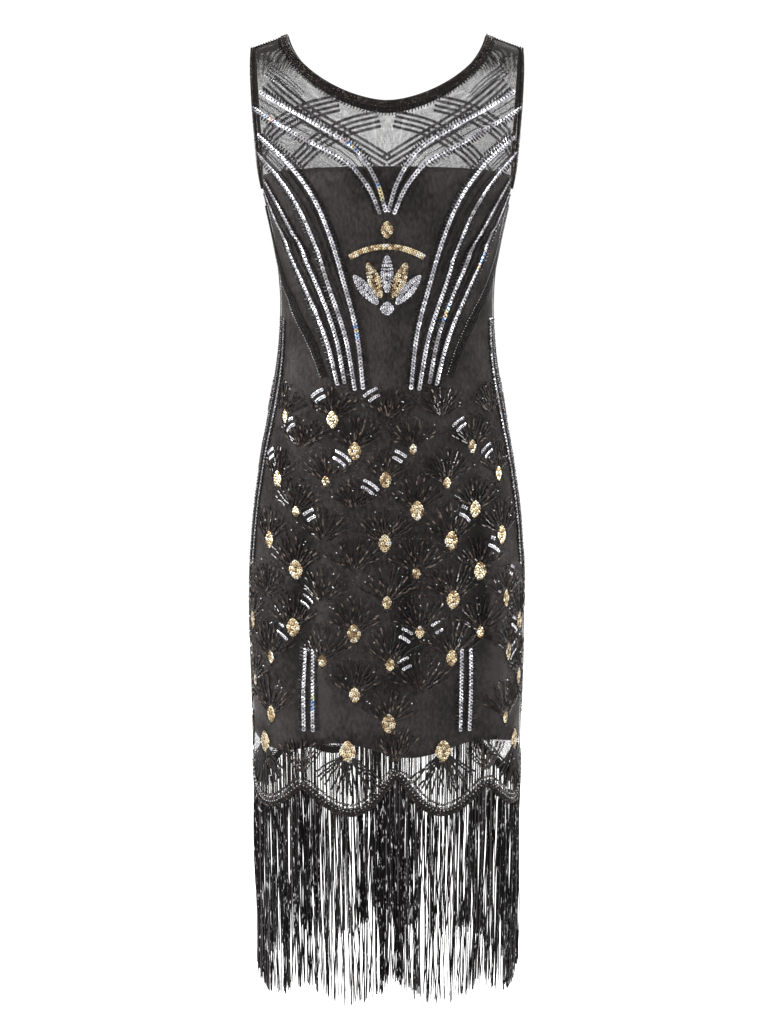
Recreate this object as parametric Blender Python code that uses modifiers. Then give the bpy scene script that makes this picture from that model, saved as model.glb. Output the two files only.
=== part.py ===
"""A sleeveless beaded flapper dress, filled out and hollow: a sheer net shell over an opaque slip, with
beaded bands at the neck and armholes and a scalloped hem band that carries a long fringe.

Metres, +Z up. The origin lies midway between the tops of the two shoulder seams, the front faces -Y, and the
side and shoulder seams lie in the plane Y = 0. Every panel is a grid: its rows run round the figure, from the
hem at row 0 to the neckline, and its columns run up it, from the side seam at -X to the side seam at +X.
"""

import math

import bmesh
import bpy
import numpy as np
from mathutils import Vector

# Driving dimensions
SHOULDER_SLOPE = 0.36
NECK_HALF_WIDTH = 0.1217
NECK_DROP = {"front": 0.080, "back": 0.084}
NECK_FULLNESS = 1.65
SHOULDER_ROUND = 0.055
UNDERARM_Z = -0.179
ARMHOLE_REACH = {"front": 0.052, "back": 0.046}
ARMHOLE_ROUND = 0.072
SQUARENESS = 2.3

NET_THICK = 0.001
SLIP_THICK = 0.001
SLIP_CLEARANCE = 0.0006
SEAM_HALF_GAP = 0.0003
LAID_ON_GAP = 0.0008
SEWN_ON_GAP = 0.0004

HEM_PEAKS_Z = (-0.905, -0.923, -0.915)  # at the middle of a panel, half way to its side seams and at them
HEM_LOW_Z = -0.956
SCALLOP_ROUNDNESS = 0.85
SCALLOPS_A_PANEL = 4
HEM_SHIFT = {"front": 0.05, "back": -0.03}
HEM_SHIFT_FADE = 4
HEM_RISE = {"front": 0.0, "back": 0.026}
FOLD_GROWTH = 1.5
SLIP_HEM_Z = -0.872
SLIP_HEM_WAVE = 0.005
SLIP_WAVE_PITCH = 0.75
SLIP_WAVE_CREST = -0.26
SLIP_TOP_SIDE_Z = -0.1755
SLIP_TOP_RISE = 0.0155
SLIP_TOP_FULLNESS = 0.6

NECK_BAND_WIDTH = 0.010
NECK_BAND_THICK = 0.0014
ARMHOLE_BAND_WIDTH = 0.006
ARMHOLE_BAND_THICK = 0.0012
HEM_BAND_WIDTH = 0.016
HEM_BAND_THICK = 0.0014
HEM_BAND_OVERHANG = 0.0015

STRANDS_A_PANEL = 124
STRAND_LENGTH = 0.238
STRAND_WIDTH_SHARE = 0.44
STRAND_TAPER = 0.72
STRAND_GATHER = 0.972
STRAND_UNEVEN = 0.006
STRAND_UNEVEN_TURNS = (2.4, 0.7)
STRAND_EVENING = 0.28

# How finely the panels are divided
PATH_STEPS = 121
COLUMNS = 32
HALF = COLUMNS // 2
ACROSS = np.linspace(-1, 1, COLUMNS + 1)
ARMHOLE_ROWS = 6
ARMHOLE_CROWDING = 1.5
SHOULDER_ROWS = 2
RING_HEIGHTS = (-0.850, -0.80, -0.73, -0.66, -0.59, -0.52, -0.46, -0.40, -0.345, -0.295, -0.25, -0.205, -0.179)
HEM_ROWS = 2
UNDERARM_ROW = HEM_ROWS + len(RING_HEIGHTS) - 1
MERGE_DISTANCE = 1e-6
FACING_DOWN = -0.3  # faces whose normals point down more than this

# Half of the width, and the depth in front of and behind the side seams, at heights from the hem up
SECTION_COLUMNS = ("height", "half_width", "front", "back")
SECTIONS = (
    (-0.960, 0.1685, 0.1230, 0.1220),
    (-0.860, 0.1702, 0.1220, 0.1215),
    (-0.780, 0.1718, 0.1215, 0.1230),
    (-0.710, 0.1742, 0.1210, 0.1250),
    (-0.640, 0.1723, 0.1195, 0.1260),
    (-0.580, 0.1668, 0.1175, 0.1240),
    (-0.520, 0.1583, 0.1140, 0.1170),
    (-0.460, 0.1474, 0.1090, 0.1060),
    (-0.400, 0.1363, 0.1020, 0.0930),
    (-0.340, 0.1312, 0.0970, 0.0850),
    (-0.290, 0.1334, 0.1010, 0.0860),
    (-0.250, 0.1393, 0.1100, 0.0910),
    (-0.205, 0.1497, 0.1180, 0.0970),
    (-0.179, 0.1550, 0.1160, 0.0995),
    (-0.145, 0.1585, 0.1080, 0.1005),
    (-0.100, 0.1625, 0.0950, 0.0985),
    (-0.055, 0.1655, 0.0840, 0.0920),
    (0.000, 0.1675, 0.0750, 0.0840),
)

# Soft upright folds of the skirt: where each lies across its panel, from -1 to 1, the height at which it
# starts, its half width across the panel and how far it stands out (or sinks in, where negative)
FOLD_COLUMNS = ("panel", "across", "top", "half_width", "depth")
FOLDS = (
    ("front", -0.56, -0.58, 0.10, 0.0040),
    ("front", -0.34, -0.66, 0.09, -0.0030),
    ("front", 0.05, -0.72, 0.14, 0.0025),
    ("front", 0.38, -0.60, 0.09, -0.0030),
    ("front", 0.60, -0.54, 0.10, 0.0045),
    ("back", -0.62, -0.60, 0.11, 0.0040),
    ("back", -0.30, -0.64, 0.12, -0.0030),
    ("back", 0.02, -0.58, 0.13, 0.0040),
    ("back", 0.36, -0.66, 0.10, -0.0035),
    ("back", 0.64, -0.62, 0.11, 0.0035),
)

# Colour, roughness and metallic value of each material
FINISHES = {
    "black_net": ((0.030, 0.028, 0.029), 0.70, 0.0),
    "slip_cloth": ((0.018, 0.016, 0.017), 0.62, 0.0),
    "black_beads": ((0.014, 0.011, 0.010), 0.28, 0.1),
    "fringe_strands": ((0.012, 0.010, 0.010), 0.38, 0.0),
}


def section(column, height):
    """Reads one column of the section table at a height, on a smooth curve through its rows."""
    heights = np.array([row[0] for row in SECTIONS])
    values = np.array([row[SECTION_COLUMNS.index(column)] for row in SECTIONS])
    slopes = np.gradient(values, heights)
    height = float(np.clip(height, heights[0], heights[-1]))
    low = int(np.clip(np.searchsorted(heights, height) - 1, 0, len(heights) - 2))
    span = heights[low + 1] - heights[low]
    t = (height - heights[low]) / span
    start = (1 + 2 * t) * (1 - t) ** 2 * values[low] + t * (1 - t) ** 2 * span * slopes[low]
    end = t**2 * (3 - 2 * t) * values[low + 1] - t**2 * (1 - t) * span * slopes[low + 1]
    return start + end


def armhole_reach(side, height):
    """How far the armhole's edge lies from the plane of the side seams: nothing at the underarm."""
    climb = max(0.0, height - UNDERARM_Z) / ARMHOLE_ROUND
    return ARMHOLE_REACH[side] * math.sqrt(1 - (1 - min(1.0, climb)) ** 2)


def shoulder_line(x):
    """Height of the shoulder seam above a place across the figure."""
    return -SHOULDER_SLOPE * max(0.0, abs(x) - NECK_HALF_WIDTH)


def over_shoulder(side, drape):
    """Turns a length of cloth, measured down from the shoulder seam, into a drop in height and the share of
    the full depth that the cloth has reached there: it goes over the shoulder on a quarter of an ellipse."""
    depth = section(side, -SHOULDER_ROUND)
    quarter = math.pi / 2 * math.sqrt((SHOULDER_ROUND**2 + depth**2) / 2)
    if drape >= quarter:
        return SHOULDER_ROUND + drape - quarter, 1.0
    turn = math.pi / 2 * drape / quarter
    return SHOULDER_ROUND * (1 - math.cos(turn)), math.sin(turn)


def drape_at(side, drop):
    """The length of cloth from the shoulder seam down to a drop in height."""
    depth = section(side, -SHOULDER_ROUND)
    quarter = math.pi / 2 * math.sqrt((SHOULDER_ROUND**2 + depth**2) / 2)
    if drop >= SHOULDER_ROUND:
        return quarter + drop - SHOULDER_ROUND
    return quarter * math.acos(1 - drop / SHOULDER_ROUND) / (math.pi / 2)


def ring_point(side, x, height, share=1.0):
    """A point of the figure's outline at a height: a squarish ellipse that the armhole cuts off."""
    depth = section(side, height)
    reach = armhole_reach(side, height)
    full = section("half_width", height) / (1 - (reach / depth) ** SQUARENESS) ** (1 / SQUARENESS)
    y = depth * max(0.0, 1 - (abs(x) / full) ** SQUARENESS) ** (1 / SQUARENESS) * share
    y = max(y, SEAM_HALF_GAP)
    return np.array((x, -y if side == "front" else y, height))


def draped_point(side, x, drape):
    """A point above the underarm, given by its place across and its length of cloth from the shoulder."""
    drop, share = over_shoulder(side, drape)
    return ring_point(side, x, shoulder_line(x) - drop, share)


def lengths_along(points):
    """The length of a path from its start to each of its points."""
    return np.concatenate(([0], np.cumsum(np.linalg.norm(np.diff(points, axis=0), axis=1))))


def points_along(path, shares):
    """The points of a path at shares of its length."""
    path = np.array(path)
    along = lengths_along(path)
    wanted = np.array(shares) * along[-1]
    return np.stack([np.interp(wanted, along, path[:, axis]) for axis in range(path.shape[1])], axis=1)


def ring_row(side, height, shift=0.0):
    """One row of points round a panel at a height, from the left side seam to the right one. They are evenly
    spaced but for a shift, which is greatest in the middle of the panel."""
    half_width = section("half_width", height)
    turns = np.linspace(-math.pi / 2, math.pi / 2, 2 * PATH_STEPS)
    path = [ring_point(side, half_width * math.sin(turn), height) for turn in turns]
    return points_along(path, (ACROSS + shift * (1 - ACROSS**HEM_SHIFT_FADE) + 1) / 2)


def scallop_height(side, across):
    """Height of the hem's cut edge at a place across a panel, from -1 to 1."""
    phase = math.pi * SCALLOPS_A_PANEL * (across + 1) / 2
    peak = np.interp(abs(across), (0, 0.5, 1), HEM_PEAKS_Z)
    rise = HEM_RISE[side] * math.cos(math.pi / 2 * across)
    return peak - (peak - HEM_LOW_Z) * abs(math.sin(phase)) ** SCALLOP_ROUNDNESS + rise


def armhole_side(side):
    """The edge of half a panel above the underarm, as (x, drape) pairs with the 3-D length between rows even:
    up the armhole to the shoulder's tip and then along the shoulder seam to the neck."""
    low_drop = shoulder_line(section("half_width", UNDERARM_Z)) - UNDERARM_Z
    edge = []
    for share in np.linspace(1, 0, PATH_STEPS) ** ARMHOLE_CROWDING:
        drape = drape_at(side, low_drop * share)
        drop = over_shoulder(side, drape)[0]
        x = section("half_width", 0)
        for _ in range(4):
            x = section("half_width", shoulder_line(x) - drop)
        edge.append((x, drape, *draped_point(side, x, drape)))
    edge = np.array(edge)
    along = lengths_along(edge[:, 2:])
    wanted = np.linspace(0, along[-1], ARMHOLE_ROWS + 1)
    armhole = [(np.interp(length, along, edge[:, 0]), np.interp(length, along, edge[:, 1])) for length in wanted]
    tip_x = armhole[-1][0]
    band_x = NECK_HALF_WIDTH + NECK_BAND_WIDTH
    seam = [(tip_x + (band_x - tip_x) * k / SHOULDER_ROWS, 0.0) for k in range(1, SHOULDER_ROWS + 1)]
    return np.array(armhole + seam + [(NECK_HALF_WIDTH, 0.0)])


def neckline(side):
    """Half of the neckline from its lowest point to the shoulder seam, as (x, drape) pairs."""
    path = []
    for turn in np.linspace(0, math.pi / 2, PATH_STEPS):
        x = NECK_HALF_WIDTH * math.sin(turn) ** (2 / NECK_FULLNESS)
        path.append((x, drape_at(side, NECK_DROP[side] * max(0.0, math.cos(turn)) ** (2 / NECK_FULLNESS))))
    return points_along(path, np.linspace(0, 1, HALF + 1))


def upper_rows(side):
    """The rows above the underarm, which turn from a level ring into the neckline."""
    low = ring_row(side, UNDERARM_Z)[HALF:]
    low_x = low[:, 0]
    low_drape = [drape_at(side, shoulder_line(x) - UNDERARM_Z) for x in low_x]
    high = neckline(side)
    edge = armhole_side(side)
    band_share = 1 - NECK_BAND_WIDTH / (low_drape[0] - high[0, 1])
    shares = [band_share * k / (ARMHOLE_ROWS + SHOULDER_ROWS) for k in range(1, ARMHOLE_ROWS + SHOULDER_ROWS + 1)]
    rows = []
    for step, share in enumerate(shares + [1.0], start=1):
        base = [(1 - share) * np.array((low_x[k], low_drape[k])) + share * high[k] for k in range(HALF + 1)]
        pull = edge[step] - base[-1]
        half_row = [base[k] + pull * (k / HALF) ** 2 for k in range(HALF + 1)]
        right = [draped_point(side, x, drape) for x, drape in half_row]
        left = [point * (-1, 1, 1) for point in right[:0:-1]]
        rows.append(np.array(left + right))
    return rows


def panel_grid(side):
    """All rows of a panel's outer face, hem first, as an array of rows, columns and coordinates."""
    shift = HEM_SHIFT[side]
    hem = [scallop_height(side, across) for across in ACROSS]
    rows = []
    for lift in (0.0, HEM_BAND_WIDTH):
        rows.append(np.array([ring_row(side, hem[k] + lift, shift)[k] for k in range(COLUMNS + 1)]))
    rows.append(ring_row(side, RING_HEIGHTS[0], shift / 2))
    rows += [ring_row(side, height) for height in RING_HEIGHTS[1:]]
    rows += upper_rows(side)
    grid = np.array(rows)
    return grid + fold_depths(side, grid)[..., None] * outward(side, grid)


def outward(side, grid):
    """The direction out of the cloth at each point of a grid."""
    up = np.gradient(grid, axis=0)
    along = np.gradient(grid, axis=1)
    away = np.cross(along, up)
    away /= np.linalg.norm(away, axis=2, keepdims=True)
    return away if side == "front" else -away


def fold_depths(side, grid):
    """How far the skirt's folds move each point of a grid out of its section."""
    heights = grid[:, :, 2]
    depths = np.zeros(heights.shape)
    for panel, middle, top, half_width, depth in FOLDS:
        if panel != side:
            continue
        grown = np.clip((top - heights) / (top - HEM_PEAKS_Z[0]), 0, 1)
        depths += depth * np.exp(-(((ACROSS - middle) / half_width) ** 2)) * grown**FOLD_GROWTH
    return depths


def between_rows(grid, column, height):
    """The point of a column of a grid at a height below the neckline, and its row as a fraction."""
    heights = grid[:, column, 2]
    row = float(np.interp(height, heights[: UNDERARM_ROW + ARMHOLE_ROWS], range(UNDERARM_ROW + ARMHOLE_ROWS)))
    low = int(row)
    return grid[low, column] + (grid[low + 1, column] - grid[low, column]) * (row - low)


def collection_named(name):
    made = bpy.data.collections.new(name)
    bpy.context.scene.collection.children.link(made)
    return made


def finish(name):
    """A plain material from the table of finishes."""
    if name in bpy.data.materials:
        return bpy.data.materials[name]
    colour, roughness, metallic = FINISHES[name]
    made = bpy.data.materials.new(name)
    made.use_nodes = True
    shader = made.node_tree.nodes["Principled BSDF"]
    shader.inputs["Base Color"].default_value = (*colour, 1)
    shader.inputs["Roughness"].default_value = roughness
    shader.inputs["Metallic"].default_value = metallic
    return made


def grid_mesh(points, away, closed=False):
    """A bmesh grid whose points are moved to the rows and columns given, with its faces turned to look away
    from the figure, as the direction at its first point says. A closed one joins its two ends."""
    rows, columns = points.shape[:2]
    bm = bmesh.new()
    bmesh.ops.create_grid(bm, x_segments=columns - 1, y_segments=rows - 1, size=1)
    for vert in bm.verts:
        column = round((vert.co.x + 1) / 2 * (columns - 1))
        row = round((vert.co.y + 1) / 2 * (rows - 1))
        vert.co = Vector(points[row, column])
    if closed:
        bmesh.ops.remove_doubles(bm, verts=bm.verts, dist=MERGE_DISTANCE)
    bm.normal_update()
    first = min(bm.faces, key=lambda face: (face.calc_center_median() - Vector(points[0, 0])).length)
    if first.normal.dot(Vector(away)) < 0:
        bmesh.ops.reverse_faces(bm, faces=bm.faces)
    return bm


def add_object(bm, name, material, collection):
    mesh = bpy.data.meshes.new(name)
    bm.to_mesh(mesh)
    bm.free()
    mesh.materials.append(finish(material))
    made = bpy.data.objects.new(name, mesh)
    collection.objects.link(made)
    return made


def add_shell(points, side, name, material, thickness, collection):
    """A cloth panel: the grid is its outer face and Solidify gives it its wall, inwards."""
    made = add_object(grid_mesh(points, outward(side, points)[0, 0]), name, material, collection)
    wall = made.modifiers.new("wall", "SOLIDIFY")
    wall.thickness = thickness
    wall.offset = -1
    return made


def slip_grid(side, grid):
    """The slip's outer face: the net's points moved in, between the slip's own top edge and hem."""
    inner = grid - outward(side, grid) * (NET_THICK + SLIP_CLEARANCE)
    hem = SLIP_HEM_Z + SLIP_HEM_WAVE * np.cos(2 * math.pi * (ACROSS - SLIP_WAVE_CREST) / SLIP_WAVE_PITCH)
    top = SLIP_TOP_SIDE_Z + SLIP_TOP_RISE * (1 - ACROSS**2) ** SLIP_TOP_FULLNESS
    bottom_row = [between_rows(inner, k, hem[k]) for k in range(COLUMNS + 1)]
    top_row = [between_rows(inner, k, top[k]) for k in range(COLUMNS + 1)]
    middle = inner[HEM_ROWS + 1 : UNDERARM_ROW + 1]
    return np.concatenate(([bottom_row], middle, [top_row]))


def add_ring(edges, away, name, thickness, offset, collection):
    """A beaded strip that closes on itself, between two rings of points. Its wall grows outwards from them
    with an offset of 1 and lies half on each side of them with an offset of 0."""
    points = np.array([np.vstack((edge, edge[:1])) for edge in edges])
    bm = grid_mesh(points, away, closed=True)
    made = add_object(bm, name, "black_beads", collection)
    wall = made.modifiers.new("wall", "SOLIDIFY")
    wall.thickness = thickness
    wall.offset = offset
    return made


def joined_ring(front, back):
    """One ring from two runs of points that start together at one seam and end together at the other."""
    start = (front[0] + back[0]) / 2
    end = (front[-1] + back[-1]) / 2
    return np.vstack((start, front[1:-1], end, back[-2:0:-1]))


def add_neck_band(grids, collection):
    """The neck band lies on the net's top row of squares, front and back, as one ring."""
    away = {side: outward(side, grid) for side, grid in grids.items()}
    lifted = {side: grid + away[side] * LAID_ON_GAP for side, grid in grids.items()}
    edges = [joined_ring(lifted["front"][row], lifted["back"][row]) for row in (-2, -1)]
    add_ring(edges, away["front"][-2, 0] + away["back"][-2, 0], "neck_band", NECK_BAND_THICK, 1, collection)


def add_armhole_band(grids, hand, collection):
    """An armhole band binds the cut edge of the armhole, front and back, as one ring that goes on from the
    net where the net ends."""
    edge_column, next_column = (0, 1) if hand == "left" else (COLUMNS, COLUMNS - 1)
    rows = slice(UNDERARM_ROW, UNDERARM_ROW + ARMHOLE_ROWS + 1)
    edges = {}
    for side, grid in grids.items():
        edge = grid[rows, edge_column]
        off = edge - grid[rows, next_column]
        off[0] = edge[0] - grid[rows.start - 1, edge_column]
        off[-1] = edge[-1] - grid[rows.stop, edge_column]
        off /= np.linalg.norm(off, axis=1, keepdims=True)
        edges[side] = edge + off * SEWN_ON_GAP, edge + off * (SEWN_ON_GAP + ARMHOLE_BAND_WIDTH)
    rings = [joined_ring(edges["front"][part], edges["back"][part]) for part in (0, 1)]
    away = (-1 if hand == "left" else 1, 0, 0)
    add_ring(rings, away, f"armhole_band_{hand}", ARMHOLE_BAND_THICK, 0, collection)


def strand_cuts(edge):
    """Where the hem band is divided, in columns of its panel: each strand's root, then the gap to the next.
    The strands are even along the scalloped edge, so they crowd together where it climbs to a peak."""
    along = lengths_along(edge)
    pitch = along[-1] / STRANDS_A_PANEL
    middles = (np.arange(STRANDS_A_PANEL) + 0.5) * pitch
    reach = pitch * STRAND_WIDTH_SHARE / 2
    cuts = np.sort(np.concatenate(([0, along[-1]], middles - reach, middles + reach)))
    return np.interp(cuts, along, range(len(edge)))


def add_fringe(side, grid, collection):
    """The scalloped hem band, laid on the net's lowest row of squares, with a strand drawn down from every
    second square of its lower edge."""
    lifted = grid + outward(side, grid) * LAID_ON_GAP
    cuts = strand_cuts(lifted[0])
    columns = range(COLUMNS + 1)
    low, high = (
        np.stack([np.interp(cuts, columns, lifted[row, :, axis]) for axis in range(3)], axis=1) for row in (0, 1)
    )
    low = low - (high - low) / HEM_BAND_WIDTH * HEM_BAND_OVERHANG
    bm = grid_mesh(np.array((low, high)), outward(side, grid)[0, 0])
    bmesh.ops.solidify(bm, geom=bm.faces, thickness=-HEM_BAND_THICK)
    bmesh.ops.recalc_face_normals(bm, faces=bm.faces)
    looking_down = [face for face in bm.faces if face.normal.z < FACING_DOWN]
    lower_edge = sorted(looking_down, key=lambda face: face.calc_center_median().x)
    roots = lower_edge[1::2]
    drawn = bmesh.ops.extrude_discrete_faces(bm, faces=roots)["faces"]
    for index, face in enumerate(drawn):
        root = face.calc_center_median()
        length = STRAND_LENGTH + STRAND_EVENING * (root.z - HEM_LOW_Z)
        length += STRAND_UNEVEN * math.prod(math.sin(index * turn) for turn in STRAND_UNEVEN_TURNS)
        tip = Vector((root.x * STRAND_GATHER, root.y * STRAND_GATHER, root.z - length))
        for vert in face.verts:
            vert.co = tip + (vert.co - root) * STRAND_TAPER
    return add_object(bm, f"fringe_{side}", "fringe_strands", collection)


def build():
    for old in list(bpy.data.objects):
        bpy.data.objects.remove(old)
    dress = collection_named("flapper_dress")
    grids = {side: panel_grid(side) for side in ("front", "back")}
    for side, grid in grids.items():
        add_shell(grid, side, f"net_{side}", "black_net", NET_THICK, dress)
        add_shell(slip_grid(side, grid), side, f"slip_{side}", "slip_cloth", SLIP_THICK, dress)
        add_fringe(side, grid, dress)
    add_neck_band(grids, dress)
    for hand in ("left", "right"):
        add_armhole_band(grids, hand, dress)


build()
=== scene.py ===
# %% [markdown]
# # A beaded flapper dress
# The dress is a shell of sheer black net that hangs from the shoulders over a shorter, opaque slip. Beaded
# bands finish the neck and the armholes, and a scalloped band at the hem carries a long fringe. Sequins and
# glass beads are sewn all over the net.
#
# The frame that is loaded here holds the cut of the dress as plain solids at their real size. This script
# gives each of them its fine form and finish. One unit is one metre, +Z is up and the front faces -Y.

# %% Load the frame
import math

import bmesh
import bpy
import numpy as np
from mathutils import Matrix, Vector
from mathutils.bvhtree import BVHTree


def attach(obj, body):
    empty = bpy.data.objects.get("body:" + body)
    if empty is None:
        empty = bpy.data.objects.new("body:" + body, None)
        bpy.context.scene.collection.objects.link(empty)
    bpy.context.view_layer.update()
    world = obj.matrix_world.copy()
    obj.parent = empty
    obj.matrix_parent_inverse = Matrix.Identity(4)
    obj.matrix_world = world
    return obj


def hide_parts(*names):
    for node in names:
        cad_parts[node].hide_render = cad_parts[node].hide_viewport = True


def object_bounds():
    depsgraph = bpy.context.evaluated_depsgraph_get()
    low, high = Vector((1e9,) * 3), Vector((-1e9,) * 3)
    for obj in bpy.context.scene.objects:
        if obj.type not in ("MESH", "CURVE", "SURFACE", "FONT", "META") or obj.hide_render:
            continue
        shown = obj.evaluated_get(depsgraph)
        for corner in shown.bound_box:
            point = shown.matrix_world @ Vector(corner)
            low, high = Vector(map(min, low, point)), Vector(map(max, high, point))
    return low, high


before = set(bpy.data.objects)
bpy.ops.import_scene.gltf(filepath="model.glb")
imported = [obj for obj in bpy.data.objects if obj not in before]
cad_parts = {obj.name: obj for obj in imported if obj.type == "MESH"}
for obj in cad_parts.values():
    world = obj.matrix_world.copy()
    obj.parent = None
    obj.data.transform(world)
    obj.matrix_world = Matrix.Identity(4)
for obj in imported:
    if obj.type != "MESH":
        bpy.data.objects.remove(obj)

CAD_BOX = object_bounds()
scene = bpy.context.scene
chance = np.random.default_rng(1926)
print("pieces in the frame:", ", ".join(sorted(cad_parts)))

# %% [markdown]
# ## The camera
# The dress is looked at from a little above the middle, from far enough away that its sides stay nearly
# parallel. A long lens does that: with a sensor 24 mm tall and a 60 mm lens, the dress fills the frame at
# about three metres. Camera, lamps and pieces are all objects that show some data, so one helper adds them.

# %% Make the camera
CAMERA_PLACE = (-0.0037, -3.2, -0.1136)
CAMERA_DIP = math.radians(8.5)
CAMERA_SENSOR = 24
CAMERA_LENS = 60


def to_scene(name, data):
    """Adds an object that shows the data."""
    made = bpy.data.objects.new(name, data)
    scene.collection.objects.link(made)
    return made


camera = to_scene("camera", bpy.data.cameras.new("camera"))
camera.data.sensor_width = CAMERA_SENSOR
camera.data.lens = CAMERA_LENS
camera.location = CAMERA_PLACE
camera.rotation_euler = (math.pi / 2 - CAMERA_DIP, 0, 0)
scene.camera = camera
print("the camera looks down by", round(math.degrees(CAMERA_DIP), 1), "degrees")

# %% [markdown]
# ## Small helpers for finishes
# Every finish below is a Principled BSDF with a few nodes in front of it. The first helpers start a material,
# add a node with its values and inputs, and join a node to the shader. The others make the few nodes that
# come back again and again: a sum, a colour ramp, a noise, a bump and the coordinates that they read.

# %% Helpers for finishes
finishes = {}


def new_finish(name, values):
    """A material whose shader has these plain values, keyed by the name of the socket."""
    made = bpy.data.materials.new(name)
    made.use_nodes = True
    for socket, value in values.items():
        made.node_tree.nodes["Principled BSDF"].inputs[socket].default_value = value
    finishes[name] = made
    return made


def join_shader(finish, socket, source):
    """Joins the output of a node to a socket of the finish's shader."""
    finish.node_tree.links.new(source, finish.node_tree.nodes["Principled BSDF"].inputs[socket])


def add_node(finish, kind, values=None, joins=None, **settings):
    """A node of that kind. values and joins are keyed by the input's name or number."""
    node = finish.node_tree.nodes.new(kind)
    for key, value in settings.items():
        setattr(node, key, value)
    for key, value in (values or {}).items():
        node.inputs[key].default_value = value
    for key, source in (joins or {}).items():
        finish.node_tree.links.new(source, node.inputs[key])
    return node


def calculate(finish, operation, *parts):
    """A Math node; each part is a number or the output of another node."""
    node = add_node(finish, "ShaderNodeMath", operation=operation)
    for index, part in enumerate(parts):
        if isinstance(part, (int, float)):
            node.inputs[index].default_value = part
        else:
            finish.node_tree.links.new(part, node.inputs[index])
    return node.outputs[0]


def ramp(finish, source, stops):
    """A colour ramp on that output, from (place, colour) pairs."""
    node = add_node(finish, "ShaderNodeValToRGB", joins={"Fac": source})
    while len(node.color_ramp.elements) < len(stops):
        node.color_ramp.elements.new(0.5)
    for element, (place, colour) in zip(node.color_ramp.elements, stops):
        element.position = place
        element.color = (*colour, 1)
    return node.outputs["Color"]


def noise(finish, scale, vector, **values):
    """A Noise Texture of that scale on those coordinates."""
    values = {"Scale": scale, "Detail": 2.0, **values}
    return add_node(finish, "ShaderNodeTexNoise", values, {"Vector": vector}).outputs["Fac"]


def add_bump(finish, strength, distance, height):
    """Lets the shader see a relief."""
    values = {"Strength": strength, "Distance": distance}
    node = add_node(finish, "ShaderNodeBump", values, {"Height": height})
    join_shader(finish, "Normal", node.outputs["Normal"])


def axis_of(finish, vector, axis):
    """One coordinate of a vector."""
    return add_node(finish, "ShaderNodeSeparateXYZ", joins={"Vector": vector}).outputs[axis]


def place_of(finish):
    """The place of each point, in metres."""
    return add_node(finish, "ShaderNodeTexCoord").outputs["Object"]


def cloth_of(finish):
    """The place of each point on the flat cut of its panel, in metres."""
    return add_node(finish, "ShaderNodeUVMap", uv_map="flat_pattern").outputs["UV"]


def number_of(finish, attribute):
    """A number that the mesh holds for each of its points."""
    return add_node(finish, "ShaderNodeAttribute", attribute_name=attribute).outputs["Fac"]


print("helpers ready")

# %% [markdown]
# ## The studio
# Black cloth shows its form only by what it reflects, so the room is white all round: a bright, even sky
# stands for paper walls, a pale floor lies well below the fringe, and three large soft lamps add a little
# direction. The plain "Standard" view keeps the white paper white.

# %% Light the studio
FLOOR_DROP = 0.35
FLOOR_SIZE = 600
FLOOR_COLOUR = (0.93, 0.93, 0.93, 1)
SKY_STRENGTH = 1.08
DRESS_MIDDLE = Vector((0, 0, -0.6))
# Each lamp's name, place, size in metres and power in watts
LAMPS = (
    ("soft_box_left", (-2.9, -1.1, 1.0), 1.2, 230),
    ("soft_box_right", (2.8, -0.9, 0.6), 1.1, 90),
    ("soft_box_behind", (1.6, 2.6, 1.2), 1.4, 120),
)


def to_mesh(name, bm):
    """Turns a bmesh into a mesh and frees it."""
    mesh = bpy.data.meshes.new(name)
    bm.to_mesh(mesh)
    bm.free()
    return mesh


scene.view_settings.view_transform = "Standard"
world = bpy.data.worlds.new("paper_walls")
world.use_nodes = True
world.node_tree.nodes["Background"].inputs["Color"].default_value = (1, 1, 1, 1)
world.node_tree.nodes["Background"].inputs["Strength"].default_value = SKY_STRENGTH
scene.world = world

bm = bmesh.new()
bmesh.ops.create_grid(bm, x_segments=1, y_segments=1, size=FLOOR_SIZE / 2)
bmesh.ops.translate(bm, verts=bm.verts, vec=(0, 0, CAD_BOX[0].z - FLOOR_DROP))
floor = to_scene("floor", to_mesh("floor", bm))
floor.data.materials.append(new_finish("floor_paper", {"Base Color": FLOOR_COLOUR, "Roughness": 0.9}))

for name, place, size, watts in LAMPS:
    lamp = to_scene(name, bpy.data.lights.new(name, "AREA"))
    lamp.data.size = size
    lamp.data.energy = watts
    lamp.location = place
    lamp.rotation_euler = (DRESS_MIDDLE - Vector(place)).to_track_quat("-Z", "Y").to_euler()
print(len(LAMPS), "lamps")

# %% [markdown]
# ## The net
# Dress net is a mesh of very fine black threads. Threads of real geometry would take millions of faces, so
# the holes are in the finish. Two sets of slanting lines, worked out from the piece's own flat pattern (its
# UV map, in metres), make the little diamonds. They drive the shader's alpha, so the cloth is really
# see-through between its threads. A slow noise makes the mesh a little uneven, as stretched net is, and a
# fast one breaks it into specks. Near the tops of the shoulders the threads grow wider, so the net is denser
# and darker there: this is painted shade at the shoulders, between the neck and the arms.

# %% Finish of the net
NET_PITCH = 0.00085  # between the threads of one set, across the cloth
NET_SLANT = 1.6
NET_THREAD = 0.185
NET_SPECKLE = 0.30
# how much wider the threads grow at the shoulders: painted shade
SHOULDER_SHADE = 0.48
SHOULDER_SHADE_HEIGHTS = {"From Min": -0.058, "From Max": -0.010}
MATT_IOR = 1.16  # threads in a loose cloth reflect less than a polished surface does

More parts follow.
